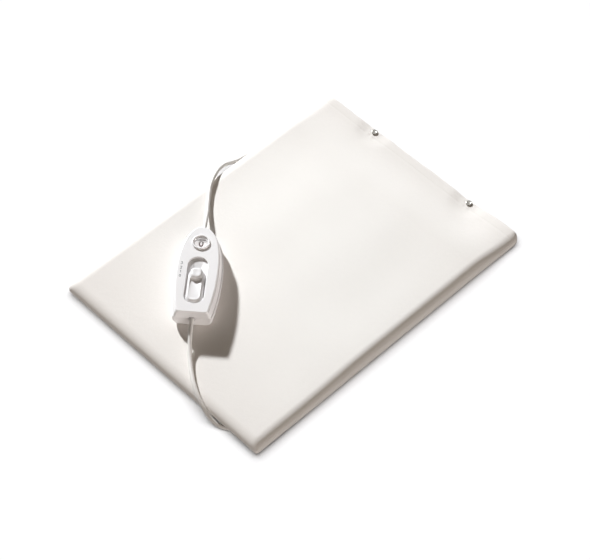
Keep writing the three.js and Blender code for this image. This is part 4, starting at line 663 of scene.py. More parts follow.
@dataclass
class Studio:
    """Camera at the photograph's angle, pale floor and soft light."""

    target: tuple[float, float, float] = (-13.07, -11.99, 0.0)
    azimuth: float = -44.31
    elevation: float = 52.59
    distance: float = 2283.42
    sensor: float = 36.0
    lens: float = 128.87
    sight: float = 50.0  # metres to which the camera sees
    floor_half: float = 4000.0
    floor_steps: int = 8
    floor_height: float = -0.2
    floor_seen: tuple[float, float, float, float] = (0.97, 0.97, 0.975, 1)
    floor_thrown: tuple[float, float, float, float] = (0.3, 0.29, 0.28, 1)
    key_turn: float = 75.0
    key_elevation: float = 27.0
    key_distance: float = 12000.0
    key_aim: tuple[float, float, float] = (14.0, -36.0, 16.0)
    spots: tuple[Spot, ...] = (
        Spot("main lamp", 9500.0, 470.0, 20.0, 0.3, 1.0, (0.985, 0.99, 1)),
        Spot("pool lamp", 4300.0, 120.0, 2.6, 1.0, 0.32, (0.8, 0.95, 1)),
    )
    suns: tuple[Sun, ...] = (
        Sun("floor lamp", 3.32, 84.0, 75.0, 78.0, (0.985, 0.99, 1), Group.FLOOR),
        Sun("fill lamp", 0.95, 20.0, 240.0, 4.0, (1, 0.97, 0.95), Group.OBJECT),
        Sun("front lamp", 0.62, 60.0, 240.0, 30.0, (1, 0.86, 0.73), Group.OBJECT),
        Sun("side lamp", 1.5, 20.0, 300.0, 4.0, (1, 0.955, 0.93), Group.HOUSING),
    )
    sky: float = 0.035
    sky_tint: tuple[float, float, float] = (1.0, 0.8, 0.6)

    def camera(self) -> None:
        """Set the camera on its place and aim it."""
        azimuth, elevation = math.radians(self.azimuth), math.radians(self.elevation)
        back = Vector((math.sin(azimuth) * math.cos(elevation), -math.cos(azimuth) * math.cos(elevation),
                       math.sin(elevation)))
        data = bpy.data.cameras.new("camera")
        data.sensor_fit = "HORIZONTAL"
        data.sensor_width = self.sensor
        data.lens = self.lens
        data.clip_end = self.sight
        camera = linked("camera", data)
        camera.location = (Vector(self.target) + back * self.distance) * MM
        camera.rotation_euler = back.to_track_quat("Z", "Y").to_euler()
        bpy.context.scene.camera = camera

    def seen(self, graph: Graph) -> Socket:
        """Return 1 for what the camera, a reflection or a clear piece shows."""
        rays = [graph.node("ShaderNodeLightPath", out=f"Is {kind} Ray")
                for kind in ("Camera", "Glossy", "Transmission")]
        return reduce(Socket.maximum, rays)

    def floor(self) -> bpy.types.Object:
        """Lay the floor: white to the camera, dimmer for the light that it throws back."""
        line = np.linspace(-self.floor_half, self.floor_half, self.floor_steps + 1)
        x, y = np.meshgrid(line, line, indexing="ij")
        grid = np.stack([x, y, np.full_like(x, self.floor_height)], axis=-1)
        sheet = Surface.from_rings(grid, around=False, caps=False)
        mesh = bpy.data.meshes.new("studio_floor")
        mesh.from_pydata((sheet.points * MM).tolist(), [], sheet.faces)
        made = bpy.data.materials.new("studio paper")
        graph = Graph(made)
        white = graph.node("ShaderNodeBsdfDiffuse", {}, {"Color": self.floor_seen})
        dim = graph.node("ShaderNodeBsdfDiffuse", {}, {"Color": self.floor_thrown})
        paper = graph.node("ShaderNodeMixShader", {}, {0: self.seen(graph), 1: dim, 2: white})
        graph.node("ShaderNodeOutputMaterial", {}, {"Surface": paper})
        mesh.materials.append(made)
        floor = linked("studio_floor", mesh)
        return floor

    def world(self) -> None:
        """Fill the surroundings with a faint warm light that looks white."""
        world = bpy.data.worlds.new("studio")
        bpy.context.scene.world = world
        graph = Graph(world)
        seen = self.seen(graph)
        strength = seen * (1 - self.sky) + self.sky
        tint = graph.blend(seen, self.sky_tint, (1.0, 1.0, 1.0))
        light = graph.node("ShaderNodeBackground", {}, {"Color": tint, "Strength": strength})
        graph.node("ShaderNodeOutputWorld", {}, {"Surface": light})

    def groups(self, floor: bpy.types.Object) -> dict[Group, bpy.types.Collection]:
        """Sort the scene's meshes by the lamps that light them.

        Args:
            floor: the studio's floor.

        Returns:
            A collection for each group. The housing's pieces and the mains lead are in two.
        """
        found = {group: bpy.data.collections.new(group.value) for group in Group}
        found[Group.FLOOR].objects.link(floor)
        for thing in bpy.context.scene.objects:
            if thing.type == "MESH" and thing != floor:
                found[Group.OBJECT].objects.link(thing)
        for name in ("housing_top", "housing_base", "window_rim", "mains_lead"):
            found[Group.HOUSING].objects.link(bpy.data.objects[name])
        return found

    def lamps(self, floor: bpy.types.Object) -> None:
        """Hang the spots for the object, then the wide lamps for their groups."""
        groups = self.groups(floor)
        toward = self.toward(self.key_turn, self.key_elevation)
        for spot in self.spots:
            lamp = self.hang(spot.name, "SPOT", spot.power, toward, spot.colour, groups[Group.OBJECT])
            lamp.data.shadow_soft_size = spot.radius * MM
            lamp.data.spot_size = math.radians(spot.cone)
            lamp.data.spot_blend = spot.blend
            lamp.location = (toward * self.key_distance + Vector(self.key_aim)) * MM
            lamp.scale = (1, spot.height, 1)
        for sun in self.suns:
            toward = self.toward(sun.turn, sun.elevation)
            lamp = self.hang(sun.name, "SUN", sun.strength, toward, sun.colour, groups[sun.group])
            lamp.data.angle = math.radians(sun.width)

    @staticmethod
    def toward(turn: float, elevation: float) -> Vector:
        """Direction to a lamp, from its turn in plan and its elevation in degrees."""
        turn, rise = math.radians(turn), math.radians(elevation)
        return Vector((math.cos(turn) * math.cos(rise), math.sin(turn) * math.cos(rise), math.sin(rise)))

    @staticmethod
    def hang(name: str, kind: str, energy: float, toward: Vector, colour: tuple[float, float, float],
             lit: bpy.types.Collection) -> bpy.types.Object:
        """Hang a lamp that lights only some things.

        Args:
            name: the lamp's name.
            kind: SPOT or SUN.
            energy: its power or strength.
            toward: direction to the lamp.
            colour: its colour.
            lit: what it lights.

        Returns:
            The lamp.
        """
        data = bpy.data.lights.new(name, kind)
        data.energy = energy
        data.color = colour
        lamp = linked(name, data)
        lamp.rotation_euler = toward.to_track_quat("Z", "Y").to_euler()
        lamp.light_linking.receiver_collection = lit
        return lamp

    def finish(self) -> None:
        """Show colours as they are."""
        bpy.context.scene.view_settings.view_transform = "Standard"


# ---------------------------------------------------------------- cords


MAINS_ROUTE = (
    (-130.7, 20.8, 27.3), (-141.3, 11.6, 27.3), (-144.3, 9, 27.3), (-149.6, 4.4, 26.8), (-156.3, -1.8, 24.8),
    (-164, -9.4, 21.4), (-172, -18, 19.4), (-180, -28, 18.8), (-187.5, -38.5, 18.9), (-193.8, -49, 18.6),
    (-198.8, -60, 16.6), (-201.8, -70, 12.9), (-203.2, -79, 8.4), (-203, -87.5, 4.6), (-200.6, -96, 2.6),
    (-195, -104.5, 2.4), (-186, -111.2, 2.4), (-174, -114.5, 2.4), (-155, -114, 2.4), (-125, -109.5, 2.4),
    (-90, -103, 2.4), (-55, -98.2, 2.4), (-28, -96.6, 2.35), (-12, -96.5, 2.3), (4.7, -96.5, 2.3),
)
TAIL_ROUTE = (
    (4.7, -38.6, 7.35), (-2, -38.6, 7.3), (-10, -38.2, 6.6), (-19, -34.5, 4.6), (-25.4, -27.5, 3),
    (-27.8, -19, 2.5), (-25.8, -10.5, 2.5), (-20, -3.6, 2.9), (-11.5, 0.1, 4.4), (-3, 1, 6.3), (4.7, 1, 6.85),
)
PAD_CORD_ROUTE = (
    (-63.6, 79.2, 27.3), (-51.9, 89.4, 27.3), (-48.8, 92, 27.3), (-43.6, 96.5, 26.8), (-37, 102.3, 25),
    (-29, 109.4, 21.9), (-20, 117.8, 19.5), (-10, 127, 18.8), (-1, 134.8, 18.8), (7, 140.4, 18.9),
    (15.5, 145.3, 18), (24.5, 149.9, 15.6), (33.9, 153.3, 12.1), (38.3, 154.3, 10.3), (42.8, 154.2, 8.7),
    (47.2, 153.1, 7.6), (51.4, 151.4, 7.5),
)


@dataclass
class Hank:
    """The stored part of the mains lead: long turns that go in on one layer and out on the next."""

    centre: tuple[float, float] = (45.0, -66.0)
    run: float = 80.0
    outer: float = 30.5
    pitch: float = 6.2
    waist: float = 0.85
    layer: float = 5.05
    bottom: float = 2.3
    crossing: float = 1.4  # lift of the turns at the waist
    turns_in: float = 2.5
    climb: float = 0.25
    turns: float = 4.75
    length: float = 1030.0  # about, for the number of points

    def line(self, step: float) -> np.ndarray:
        """Centre line: each quarter turn is a straight run or a half-round fold of the turn's own radius.

        Args:
            step: distance between two points, about.

        Returns:
            Points, one row each.
        """
        count = round(self.length / step)
        turn = np.linspace(0, self.turns, count)
        inwards = np.minimum(turn, self.turns_in)
        outwards = np.maximum(0, turn - self.turns_in - self.climb)
        radius = self.outer - self.pitch * (inwards - outwards)
        share = np.clip((turn - self.turns_in) / self.climb, 0, 1)
        climb = share * share * (3 - 2 * share)
        quarter = np.floor(turn * 4).astype(int) % 4
        part = turn * 4 - np.floor(turn * 4)
        half, angle = self.run / 2, np.pi * part
        bow = radius * np.sin(angle)
        x = np.choose(quarter, [mix(-half, half, part), half + bow, mix(half, -half, part), -half - bow])
        y = np.choose(quarter, [-radius, -radius * np.cos(angle), radius, radius * np.cos(angle)])
        pinch = np.where(np.abs(x) < half, np.cos(np.pi * x / self.run) ** 2, 0)
        z = self.bottom + self.layer * climb + self.crossing * pinch
        return np.stack([self.centre[0] + x, self.centre[1] + y * mix(1, self.waist, pinch), z], axis=1)


@dataclass
class Cords:
    """The mains lead with its stored hank, and the pad's own cord."""

    diameter: float = 4.6
    step: float = 2.4
    sides: int = 20
    join: float = 0.5  # between the ends of the run and the tail and the hank's first and last points
    mains_inside: float = 14.0  # stretch of the mains lead that lies inside the housing
    pad_inside: float = 15.0  # the same of the pad's cord
    hank: Hank = field(default_factory=Hank)

    def lead(self) -> np.ndarray:
        """Return the whole centre line of the mains lead."""
        run, tail = through(MAINS_ROUTE, self.step), through(TAIL_ROUTE, self.step)
        turns = self.hank.line(self.step)
        start = int(np.argmax(turns[:, 0] > run[-1, 0] + self.join))
        stop = len(turns) - int(np.argmax(turns[::-1, 0] > tail[0, 0] + self.join))
        return np.vstack([run, turns[start:stop], tail])

    def build(self) -> None:
        """Lay both cords."""
        path = self.lead()
        made = piece("mains_lead", tube(path, self.diameter / 2, self.sides), CORD, Body.PAD,
                     ("mains_cord_run", "mains_cord_hank", "mains_cord_tail"))
        path = through(PAD_CORD_ROUTE, self.step)
        made = piece("pad_lead", tube(path, self.diameter / 2, self.sides), CORD, Body.PAD,
                     ("pad_cord",))


# ---------------------------------------------------------------- pad


@dataclass
class PadForm:
    """Heights of the pad's upper and lower skin over its plan."""

    length: float = 400.0
    width: float = 295.0
    thickness: float = 16.0
    cloth: float = 1.1
    gap: float = 0.3
    seam: float = 7.5
    top_round: float = 12.0
    bottom_round: float = 7.0
    mouth_length: float = 60.0
    mouth_flat: float = 10.0
    mouth_top: float = 8.2
    mouth_swell: float = 4.2  # how much fuller the mouth is by the near side
    swell_flat: float = 14.0  # from the near side, with the whole swell
    swell_reach: float = 60.0
    mouth_rise: float = 1.4
    corner_radii: tuple = ((-1, 1, 6.0), (1, 1, 2.5), (1, -1, 10.0), (-1, -1, 3.5))
    sleeve_at: tuple[float, float] = (61.0, 147.5)
    sleeve_turn: float = -22.0
    sleeve_room: float = 5.4  # from the sleeve's axis to the outside of the cloth over it
    sleeve_half: float = 24.0  # half the length over which the cloth arches over the sleeve
    sleeve_fade: float = 26.0
    studs: tuple = ((195.6, 72.2), (195.6, -73.8))
    hank_box: tuple = (-35.5, 125.5, -106.5, -25.5)  # x0, x1, y0 and y1 over which the stored lead lies
    tail_box: tuple = (-5, 29, -13.8, 15.8)
    plug_box: tuple = (20, 74, -25.5, 27.5)
    hank_hollow: tuple[float, float] = (12.6, 36)  # height of the underside, and how far out it fades
    tail_hollow: tuple[float, float] = (12.2, 36)
    plug_hollow: tuple[float, float] = (14.2, 60)
    lead_hollow: tuple[float, float] = (5.8, 24)
    lead_flat: float = 13  # from the lead, with the whole height
    hank_swell: tuple[float, float] = (2.2, 100)  # lift of the top, and how far out it fades
    plug_swell: tuple[float, float] = (3.8, 115)

    @staticmethod
    def from_box(x: np.ndarray, y: np.ndarray, box: tuple[float, float, float, float]) -> np.ndarray:
        """Return the plan distance from a box of x0, x1, y0 and y1, 0 inside it."""
        x0, x1, y0, y1 = box
        return np.hypot(np.maximum(np.maximum(x0 - x, x - x1), 0), np.maximum(np.maximum(y0 - y, y - y1), 0))

    @staticmethod
    def from_lead(x: np.ndarray, y: np.ndarray) -> np.ndarray:
        """Return the plan distance from the part of the lead that lies under the pad."""
        under = np.array(MAINS_ROUTE[14:])[:, :2]
        nearest = np.full(x.shape, np.inf)
        for (ax, ay), (bx, by) in zip(under[:-1], under[1:]):
            dx, dy = bx - ax, by - ay
            share = np.clip(((x - ax) * dx + (y - ay) * dy) / (dx * dx + dy * dy), 0, 1)
            nearest = np.minimum(nearest, np.hypot(x - ax - share * dx, y - ay - share * dy))
        return nearest

    def hollow(self, x: np.ndarray, y: np.ndarray) -> np.ndarray:
        """Height of the underside over the stored lead and its plug: the largest of four faded blocks."""
        blocks = (
            (self.hank_hollow, self.from_box(x, y, self.hank_box)),
            (self.tail_hollow, self.from_box(x, y, self.tail_box)),
            (self.plug_hollow, self.from_box(x, y, self.plug_box)),
            (self.lead_hollow, self.from_lead(x, y) - self.lead_flat),
        )
        return np.max([height * fade(away, reach) for (height, reach), away in blocks], axis=0)

    def rise(self, x: np.ndarray, y: np.ndarray) -> np.ndarray:
        """Lift of the top over the hank and the plug: cube root of the sum of two cubed swells."""
        swells = ((self.hank_swell, self.hank_box), (self.plug_swell, self.plug_box))
        cubes = [(lift * fade(self.from_box(x, y, box), reach)) ** 3 for (lift, reach), box in swells]
        return sum(cubes) ** (1 / 3)

    def mouth_share(self, x: np.ndarray) -> np.ndarray:
        """Return 0 at the open end and 1 where the pad has its full thickness."""
        return 1 - fade(self.length / 2 - self.mouth_flat - x, self.mouth_length)

    def seam_at(self, x: np.ndarray) -> np.ndarray:
        """Return the height of the seam between the two cloths."""
        return mix((self.mouth_top + self.mouth_rise) / 2, self.seam, self.mouth_share(x))

    def rim(self, x: np.ndarray, y: np.ndarray, inset: float, reach: float) -> np.ndarray:
        """Return 0 at the three sewn edges and 1 beyond their rounding."""
        return (round_edge(self.length / 2 + x - inset, reach)
                * round_edge(self.width / 2 - np.abs(y) - inset, reach))

    def sleeve_arch(self, x: np.ndarray, y: np.ndarray, inset: float) -> np.ndarray:
        """Half height of the tunnel that the cloth makes round the cord's sleeve."""
        turn = math.radians(self.sleeve_turn)
        across = (y - self.sleeve_at[1]) * math.cos(turn) - (x - self.sleeve_at[0]) * math.sin(turn)
        along = (x - self.sleeve_at[0]) * math.cos(turn) + (y - self.sleeve_at[1]) * math.sin(turn)
        arch = np.sqrt(np.maximum((self.sleeve_room - inset) ** 2 - across**2, 0))
        return arch * fade(np.abs(along) - self.sleeve_half, self.sleeve_fade)

    def upper(self, x: np.ndarray, y: np.ndarray, inset: float) -> np.ndarray:
        """Height of the upper skin: the full height, rounded off to the seam at the edges."""
        near = fade(y + self.width / 2 - self.swell_flat, self.swell_reach)
        mouth = self.mouth_top + self.mouth_swell * near
        full = mix(mouth, self.thickness + self.rise(x, y), self.mouth_share(x)) - inset
        seam = self.seam_at(x)
        skin = mix(seam + self.gap / 2, full, self.rim(x, y, inset, self.top_round))
        return np.maximum(skin, seam + self.sleeve_arch(x, y, inset))

    def lower(self, x: np.ndarray, y: np.ndarray, inset: float) -> np.ndarray:
        """Height of the lower skin: the floor or the hollow, rounded up to the seam at the edges."""
        open_end = self.mouth_rise * fade(self.length / 2 - self.mouth_flat - x, self.mouth_length / 3)
        full = np.maximum(self.hollow(x, y), open_end) + inset
        seam = self.seam_at(x)
        skin = mix(seam - self.gap / 2, full, self.rim(x, y, inset, self.bottom_round))
        return np.minimum(skin, seam - self.sleeve_arch(x, y, inset))

    def middle(self, x: np.ndarray, y: np.ndarray) -> np.ndarray:
        """Return the height half way between the two skins' insides."""
        inset = self.cloth + self.gap
        return (self.upper(x, y, inset) + self.lower(x, y, inset)) / 2

    def drawn_in(self, x: np.ndarray, y: np.ndarray, inset: float) -> tuple[np.ndarray, np.ndarray]:
        """Move places near a rounded edge in by the inset, less and less towards the flat."""
        left = inset * np.maximum(0, 1 - (self.length / 2 + x) / self.top_round)
        side = inset * np.maximum(0, 1 - (self.width / 2 - np.abs(y)) / self.top_round)
        return x + left, y - np.sign(y) * side

    def rounded(self, x: np.ndarray, y: np.ndarray) -> tuple[np.ndarray, np.ndarray]:
        """Round the corners in plan: each corner's square is drawn onto a quarter disc."""
        for sx, sy, radius in self.corner_radii:
            cx, cy = self.length / 2 - radius, self.width / 2 - radius
            a = np.clip((sx * x - cx) / radius, 0, 1)
            b = np.clip((sy * y - cy) / radius, 0, 1)
            inside = (a > 0) & (b > 0)
            x = np.where(inside, sx * (cx + radius * a * np.sqrt(1 - b * b / 2)), x)
            y = np.where(inside, sy * (cy + radius * b * np.sqrt(1 - a * a / 2)), y)
        return x, y

    def lines(self, step: float) -> tuple[np.ndarray, np.ndarray]:
        """Surface lines along and across the pad, close at the rounded edges, the open end and the studs."""
        edge = self.top_round * (1 - np.cos(np.linspace(0, np.pi / 2, 13)))
        xs = spaced(self.top_round - self.length / 2, self.length / 2, step, 0.9, [self.length / 2], 12)
        ys = spaced(self.top_round - self.width / 2, self.width / 2 - self.top_round, step, 0.9,
                    [place[1] for place in self.studs], 5)
        return (np.concatenate([edge[:-1] - self.length / 2, xs]),
                np.concatenate([edge[:-1] - self.width / 2, ys, self.width / 2 - edge[:-1][::-1]]))


def closed_sheet(outer: np.ndarray, inner: np.ndarray) -> Surface:
    """Close two grids of points of equal size into one sheet, with a strip round their edges.

    Args:
        outer: rows by columns by 3, the side that shows.
        inner: the other side.

    Returns:
        The closed sheet.
    """
    rows, columns = outer.shape[:2]
    sheet = Surface.from_rings(outer, around=False, caps=False)
    sheet = sheet.joined(Surface.from_rings(inner[::-1], around=False, caps=False))
    place = np.arange(rows * columns).reshape(rows, columns)
    loop = np.concatenate([place[0, :-1], place[:-1, -1], place[-1, :0:-1], place[:0:-1, 0]])
    row, column = np.divmod(loop, columns)
    other = rows * columns + (rows - 1 - row) * columns + column
    strip = np.stack([loop, other, np.roll(other, -1), np.roll(loop, -1)], axis=1)
    return Surface(sheet.points, sheet.faces + strip.tolist())


@dataclass
class Pad:
    """Fleece cover of two cloths, its felt filling, the studs' caps and the cord's sleeve."""

    form: PadForm = field(default_factory=PadForm)
    step: float = 2.2
    mouth_back: float = 0.4  # how far the upper cloth stops short of the lower one at the open end
    waves: tuple = ((95, 20, 0.4), (71, 75, 2.1), (120, 140, 1.0), (52, 110, 4.0), (60, -15, 3.1))
    wave_height: float = 0.11
    stud_dip: float = 1.35  # how far the upper cloth is drawn down at a stud
    dip_reach: float = 22.0
    hem: float = 11.5  # from the open end to the hem's stitches
    lip: float = 3.2  # width over which the cloth thins to its cut edge
    felt_box: tuple = (-185.0, 167.9, 132.5)  # smallest and largest x, and half width
    felt_room: float = 0.9  # between a felt pad and the middle, where the wire runs
    sleeve_in: float = 12.0
    sleeve_out: float = 10.0
    sleeve_radii: tuple[float, float] = (4.0, 3.1)
    sleeve_ribs: int = 3
    wave_mean: float = 0.6  # taken off the waves
    hem_line: tuple[float, float] = (0.22, 1.1)  # depth and half width of the line along the hem
    hem_stray: tuple[float, float] = (0.5, 17)  # how far that line strays, and over what length
    pucker: tuple[float, float, float] = (0.18, 6.2, 2.2)  # height, radius and half width of a stud's ring
    folds: tuple[float, float, float] = (0.1, 8.5, 3.0)  # the same for the folds outside it
    fold_count: int = 7
    dip_flat: float = 5  # from a stud, with the whole dip
    lip_drop: float = 0.7

    def details(self, x: np.ndarray, y: np.ndarray) -> np.ndarray:
        """Small heights on the upper cloth: slow waves, a hem line, and puckers and dips round the studs."""
        height = self.wave_height * (ripple(x, y, self.waves) - self.wave_mean)
        depth, width = self.hem_line
        stray, span = self.hem_stray
        hem = self.form.length / 2 - self.hem
        height -= depth * bump(x - hem - stray * np.sin(y / span), width)
        ring, ring_radius, ring_width = self.pucker
        fold, fold_radius, fold_width = self.folds
        for sx, sy in self.form.studs:
            away, turn = np.hypot(x - sx, y - sy), np.arctan2(y - sy, x - sx)
            height += (ring * bump(away - ring_radius, ring_width)
                       + fold * np.cos(self.fold_count * turn + sx) * bump(away - fold_radius, fold_width))
            height -= self.stud_dip * fade(away - self.dip_flat, self.dip_reach)
        edge = np.clip((x - self.form.length / 2 + self.lip) / self.lip, 0, 1)
        return height - self.lip_drop * edge**2

    def upper_cloth(self) -> Surface:
        """Upper cloth: the form's upper skin with the small heights, and its inside one cloth lower."""
        xs, ys = self.form.lines(self.step)
        x, y = np.meshgrid(xs, ys, indexing="ij")
        sides = []
        for inset in (0.0, self.form.cloth):
            px, py = self.form.drawn_in(x, y, inset)
            near = self.form.rim(px, py, inset, self.form.top_round)
            z = self.form.upper(px, py, inset) + self.details(px, py) * near
            back = self.mouth_back + 0.3 * np.sin(py / 13) + 0.15 * np.sin(py / 5.3 + 1)
            px = px - back * fade(self.form.length / 2 - px, 14)
            px, py = self.form.rounded(px, py)
            sides.append(np.stack([px, py, z], axis=-1))
        return closed_sheet(*sides)

    def lower_cloth(self) -> Surface:
        """Lower cloth: the form's lower skin, with its free edge lifted against the upper cloth."""
        xs, ys = self.form.lines(self.step)
        x, y = np.meshgrid(xs, ys, indexing="ij")
        lift = 2.5 * fade(self.form.length / 2 - x, 9)
        for sx, sy in self.form.studs:
            lift = lift * (1 - bump(np.hypot(x - sx, y - sy), 7.5))
        sides = []
        for inset in (0.0, self.form.cloth):
            px, py = self.form.drawn_in(x, y, inset)
            z = self.form.lower(px, py, inset) + lift * self.form.rim(px, py, inset, self.form.bottom_round)
            px, py = self.form.rounded(px, py)
            sides.append(np.stack([px, py, z], axis=-1))
        return closed_sheet(*sides)

    def felt(self, upper: bool) -> Surface:
        """Felt pad above or below the wire, between a skin's inside and the middle."""
        form = self.form
        start, end, half = self.felt_box
        x, y = np.meshgrid(np.linspace(start, end, 86), np.linspace(-half, half, 66), indexing="ij")
        inset, room = form.cloth + form.gap, self.felt_room
        fluff = 0.15 * (ripple(x, y, ((9, 15, 0), (13, 80, 1), (7, 130, 2))) - 1)
        if upper:
            heights = (form.upper(x, y, inset) + fluff, form.middle(x, y) + room)
        else:
            heights = (form.middle(x, y) - room, form.lower(x, y, inset) - fluff)
        return closed_sheet(*(np.stack([x, y, z], axis=-1) for z in heights))

    def stud_cap(self, x: float, y: float) -> Surface:
        """Cap of a press stud: a rolled rim round a shallow well, on its post."""
        roll = np.linspace(-0.5, np.pi * 0.9, 14)
        rim = [(2.75 + 0.78 * math.cos(a), 8.05 + 0.5 * math.sin(a)) for a in roll]
        profile = [(0, 5.8), (0.9, 5.8), (0.9, 7.45), (3.42, 7.45), *rim, (1.5, 8.05), (0.8, 8.0), (0, 8.0)]
        return lathe(profile, 64).placed((x, y, 0))

    def sleeve(self) -> Surface:
        """Cord sleeve: a taper whose surface dips between its ribs."""
        length = self.sleeve_in + self.sleeve_out
        s = np.linspace(0, length, 121)
        part = s / length * self.sleeve_ribs % 1
        dip = fade(np.abs(part - 0.81) - 0.1, 0.12) * (s < length - 0.1)
        radius = mix(self.sleeve_radii[0], self.sleeve_radii[1], s / length) - 0.6 * dip
        tip = s > length - 0.8
        round_end = np.sqrt(np.clip(1 - (1 - (length - s) / 0.8) ** 2, 0, 1)) * tip + ~tip
        profile = np.stack([radius * mix(0.86, 1.0, round_end), self.sleeve_in - s], axis=1)
        turned = lathe(profile, 48)
        return turned.placed((*self.form.sleeve_at, self.form.seam), self.form.sleeve_turn, forward=True)

    def build(self) -> None:
        """Make the pad's pieces."""
        for name, cloth, node in (("fleece_top", self.upper_cloth(), "cover_upper_cloth"),
                                  ("fleece_base", self.lower_cloth(), "cover_lower_cloth")):
            piece(name, cloth, FLEECE, Body.PAD, (node,), 70)
        for upper, name in ((True, "felt_above_wire"), (False, "felt_below_wire")):
            node = "upper_felt_pad" if upper else "lower_felt_pad"
            piece(name, self.felt(upper), FELT, Body.PAD, (node,), 60)
        for number, (x, y) in enumerate(self.form.studs, 1):
            piece(f"stud_cap_dressed_{number}", self.stud_cap(x, y), NICKEL, Body.PAD,
                  (f"stud_cap_{number}",))
        piece("cord_sleeve", self.sleeve(), CORD, Body.PAD, ("pad_cord_sleeve",))


# ---------------------------------------------------------------- controller


